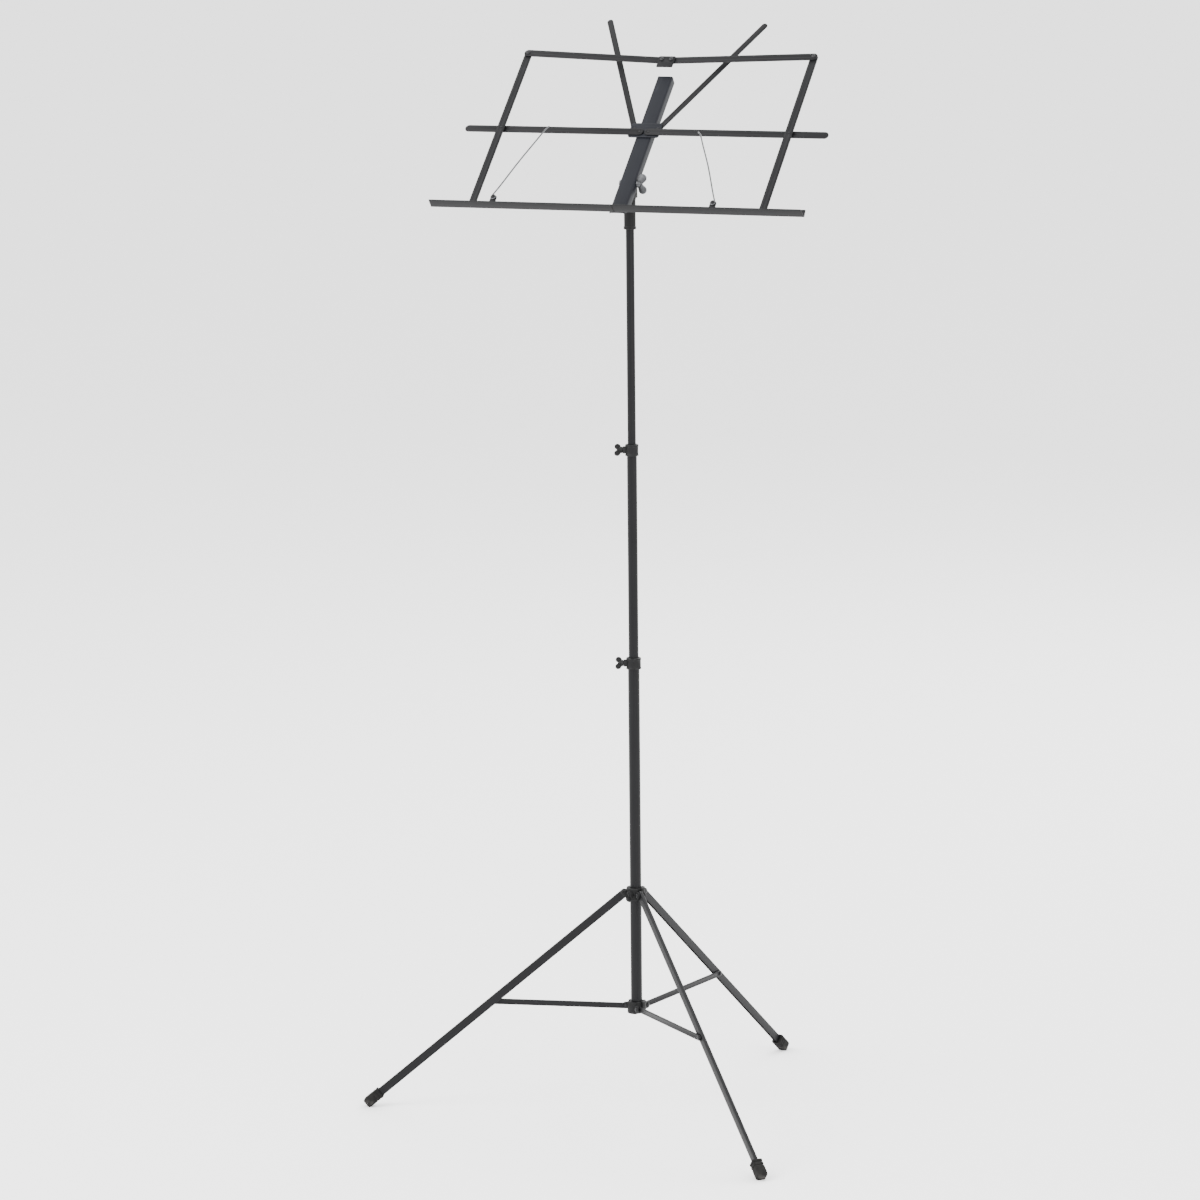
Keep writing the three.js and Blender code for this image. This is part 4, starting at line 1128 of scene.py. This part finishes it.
def desk_half(side):
    """The straps, the ledge arm and the page wire of one half of the desk."""
    middle = pivot(f"mid_arm_{side}_fold")
    low_corner = pivot(f"side_bar_{side}_fold")
    top_corner = pivot(f"top_arm_{side}_fold")
    mid_corner = low_corner + middle - ledge_pivot(side)
    centre = top_joint_point(side)
    strap(f"mid_arm_{side}", towards(middle, mid_corner), [middle, mid_corner])
    strap(f"side_bar_{side}", towards(low_corner, top_corner), [low_corner, mid_corner, top_corner])
    strap(f"top_arm_{side}", towards(top_corner, centre), [top_corner, centre])
    swing = f"extension_arm_{side}_swing"
    lean = -limit(swing, 0)
    along = HALF[side].to_3x3() @ Vector((math.sin(lean), math.cos(lean), 0))
    strap(f"extension_arm_{side}", placed(pivot(swing), along, READER), [pivot(swing)])
    ledge_arm(side)
    page_wire(side)


def ledge_arm(side):
    """An angle strip: its back flange pivots on the spine, its shelf carries the pages."""
    node = f"ledge_arm_{side}"
    place = HALF[side]
    low, high = span(node, place)
    pivot_x = (place.inverted() @ ledge_pivot(side)).x
    wire_x = (place.inverted() @ pivot(f"page_wire_{side}_swing")).x
    flange = low.z + STRAP_THICKNESS / 2
    shelf = low.y + SHELF_WALL / 2
    front = span(f"page_wire_{side}", place)[0].z - WIRE_GAP
    pairs = bent_sheet([(STRAP_HALF, flange), (shelf, flange), (shelf, front)], SHELF_WALL)

    def start(p):
        """The flange is round at its pivot; the shelf begins at the desk's middle."""
        if p.x <= 0:
            return low.x
        return pivot_x - math.sqrt(max(STRAP_HALF**2 - p.x**2, 0))

    def end(p):
        corner = SHELF_CORNER
        near = max(p.x - (STRAP_HALF - corner), p.y - (front - corner), 0)
        return high.x - corner + math.sqrt(max(corner**2 - near**2, 0))

    piece = Piece()
    piece.strip(pairs, start, end, place)
    wire_stud(piece, moved(place, wire_x), low.y, front, high.z)
    piece.finish(f"folded_ledge_arm_{side}", node, STRAP_PAINT, node)


def wire_stud(piece, place, shelf, front, top):
    """The tab that stands on the shelf, and the headed stud on which a page wire turns."""
    outline = [(-WIRE_TAB, shelf + TAB_SINK), (WIRE_TAB, shelf + TAB_SINK)]
    outline += arc(0, 0, WIRE_TAB, 0, 180, 16)
    piece.plate([outline], front - SHELF_WALL, front, place)
    neck = top - HEAD_HEIGHT
    profile = [(0, front - STUD_SINK), (SHANK, front - STUD_SINK), (SHANK, neck)]
    for a in (0, 0.35, 0.7, 1.05, 1.4):
        profile.append((HEAD_RADIUS * math.cos(a), neck + HEAD_HEIGHT * math.sin(a)))
    piece.turned(profile + [(0, top)], place, 32)


ROUND_WIRE = round_wire_shaper()


def curve_through(points):
    """A line of straight stretches in the level plane."""
    curve = bpy.data.curves.new("wire_path", "CURVE")
    curve.dimensions = "3D"
    line = curve.splines.new("POLY")
    line.points.add(len(points) - 1)
    for point, (x, y) in zip(line.points, points):
        point.co = (x, y, 0, 1)
    return curve


def page_wire(side):
    """A bent wire: a turn about its stud, then a rod that rises and leans to the middle."""
    node = f"page_wire_{side}"
    centre = HALF[side].inverted() @ pivot(f"{node}_swing")
    place = HALF[side] @ Matrix.Translation(centre)
    low, high = span(node, place)
    tip_x, tip_y = low.x + WIRE_RADIUS, high.y - WIRE_RADIUS / 2
    turn = arc(0, 0, WIRE_EYE, WIRE_LEAVES - WIRE_SWEEP, WIRE_LEAVES, 33)
    shares = [(0.1, 0.16), (0.42, 0.5), (0.74, 0.8), (0.9, 0.95), (1, 1)]  # of the way to the tip
    rod = [turn[-1]] + [(tip_x * across, tip_y * up) for across, up in shares]
    path = curve_through([*turn[:-1], *smooth_path(rod, 12)])
    wire = ROUND_WIRE.run(path, {"Radius": WIRE_RADIUS, "Sides": 16, "Material": WIRE})
    piece = Piece()
    piece.take(wire, place)
    piece.finish(f"bent_{node}", node, WIRE, node)


def desk_rivets():
    """The desk's rivets, one piece for each body that carries them."""

    def rivet(kind, side, back, front):
        return Rivet(f"{kind}_rivet_{side}", DESK, SHANK, back, front)

    def spacer(seat, behind, before):
        """Fills the room between two nodes, with a little play."""
        return seat, span(behind, DESK)[1].z + SPACER_GAP, span(before, DESK)[0].z - SPACER_GAP

    group, spacers = [], []
    for side in SIDES:
        group.append(rivet("ledge", side, back=True, front=True))
        group.append(rivet("mid", side, back=True, front=False))
        group.append(rivet("extension", side, back=True, front=False))
        seat = moved(DESK, (DESK.inverted() @ ledge_pivot(side)).x)
        spacers.append(spacer(seat, "spine", f"ledge_arm_{side}"))
    rivets("blackened_spine_rivets", "spine", group, spacers)
    for side in SIDES:
        middle = rivet("side_mid", side, back=True, front=False)
        ledge = rivet("side_ledge", side, back=False, front=True)
        corner = rivet("top_corner", side, back=True, front=True)
        washer = spacer(middle.seat, f"mid_arm_{side}", f"side_bar_{side}")
        rivets(f"blackened_side_rivets_{side}", f"side_bar_{side}", [ledge, middle, corner], [washer])
    group = [rivet("top_joint", side, back=False, front=True) for side in SIDES]
    rivets("blackened_top_joint_rivets", "top_joint_plate", group)


# ---- the stand ----

for name in ("lower_tube", "middle_tube", "top_tube"):
    tube(name)
clamp_collar("lower", "lower_tube")
clamp_collar("upper", "middle_tube")
for level in ("lower", "upper", "hub"):
    wing_screw(level)
leg_hub()
strut_collar()
for number in LEGS:
    leg(number)
    strut(number)
tripod_pins()
desk_socket()
tilt_bolt()
tilt_wing_nut()
spine()
holes_at = [pivot(f"mid_arm_{side}_fold") for side in SIDES]
holes_at += [pivot(f"extension_arm_{side}_swing") for side in SIDES]
flat_plate("cross_plate", "spine", CROSS_PLATE_CORNER, holes_at, SPINE_PAINT)
holes_at = [top_joint_point(side) for side in SIDES]
flat_plate("top_joint_plate", "top_joint_plate", JOINT_PLATE_CORNER, holes_at, STRAP_PAINT)
for side in SIDES:
    desk_half(side)
desk_rivets()

# ---- the studio ----


def make_camera():
    right = Vector((math.cos(AZIMUTH), math.sin(AZIMUTH), 0))
    back = right.cross(UP) * math.cos(ELEVATION) + UP * math.sin(ELEVATION)
    camera = in_scene("camera", bpy.data.cameras.new("camera"))
    camera.data.lens = LENS
    camera.data.sensor_width = 36
    camera.data.clip_end = 200
    aim = on_pole(AIM_HEIGHT) + right * AIM_ASIDE
    camera.matrix_world = placed(aim + back * DISTANCE, right, back) @ Matrix.Rotation(ROLL, 4, "Z")
    bpy.context.scene.camera = camera


def softbox(name, position, power):
    """A square area light that faces the middle of the stand."""
    light = bpy.data.lights.new(name, "AREA")
    light.size = SOFTBOX_SIZE
    light.energy = power
    holder = in_scene(name, light)
    aim = on_pole(AIM_HEIGHT) - Vector(position)
    holder.rotation_euler = aim.to_track_quat("-Z", "Y").to_euler()
    holder.location = position


def make_room():
    """An even pale sky and three softboxes over a pale floor."""
    world = bpy.data.worlds.new("studio")
    world.use_nodes = True
    sky = world.node_tree.nodes["Background"]
    sky.inputs["Color"].default_value = (1, 1, 1, 1)
    sky.inputs["Strength"].default_value = SKY_STRENGTH
    bpy.context.scene.world = world
    softbox("key_light", (-2.2, -2.6, 3.2), 230)
    softbox("fill_light", (3.0, -2.0, 2.2), 110)
    softbox("back_light", (0.6, 3.2, 3.0), 150)
    make_floor()


def make_floor():
    """A round sheet that reaches past the horizon."""
    finish = Finish("studio_floor")
    tone = finish.mix(finish.noise(3, 2.0) * 0.3, (0.93, 0.93, 0.93, 1), (0.9, 0.9, 0.9, 1))
    material = finish.shade(tone, 0.85, 0.0, finish.bump(finish.noise(400, 2.0), 0.0001))
    floor = bmesh.new()
    bmesh.ops.create_circle(floor, cap_ends=True, segments=96, radius=FLOOR_RADIUS)
    mesh = bpy.data.meshes.new("floor")
    floor.to_mesh(mesh)
    floor.free()
    mesh.materials.append(material)
    in_scene("floor", mesh)


make_camera()
make_room()
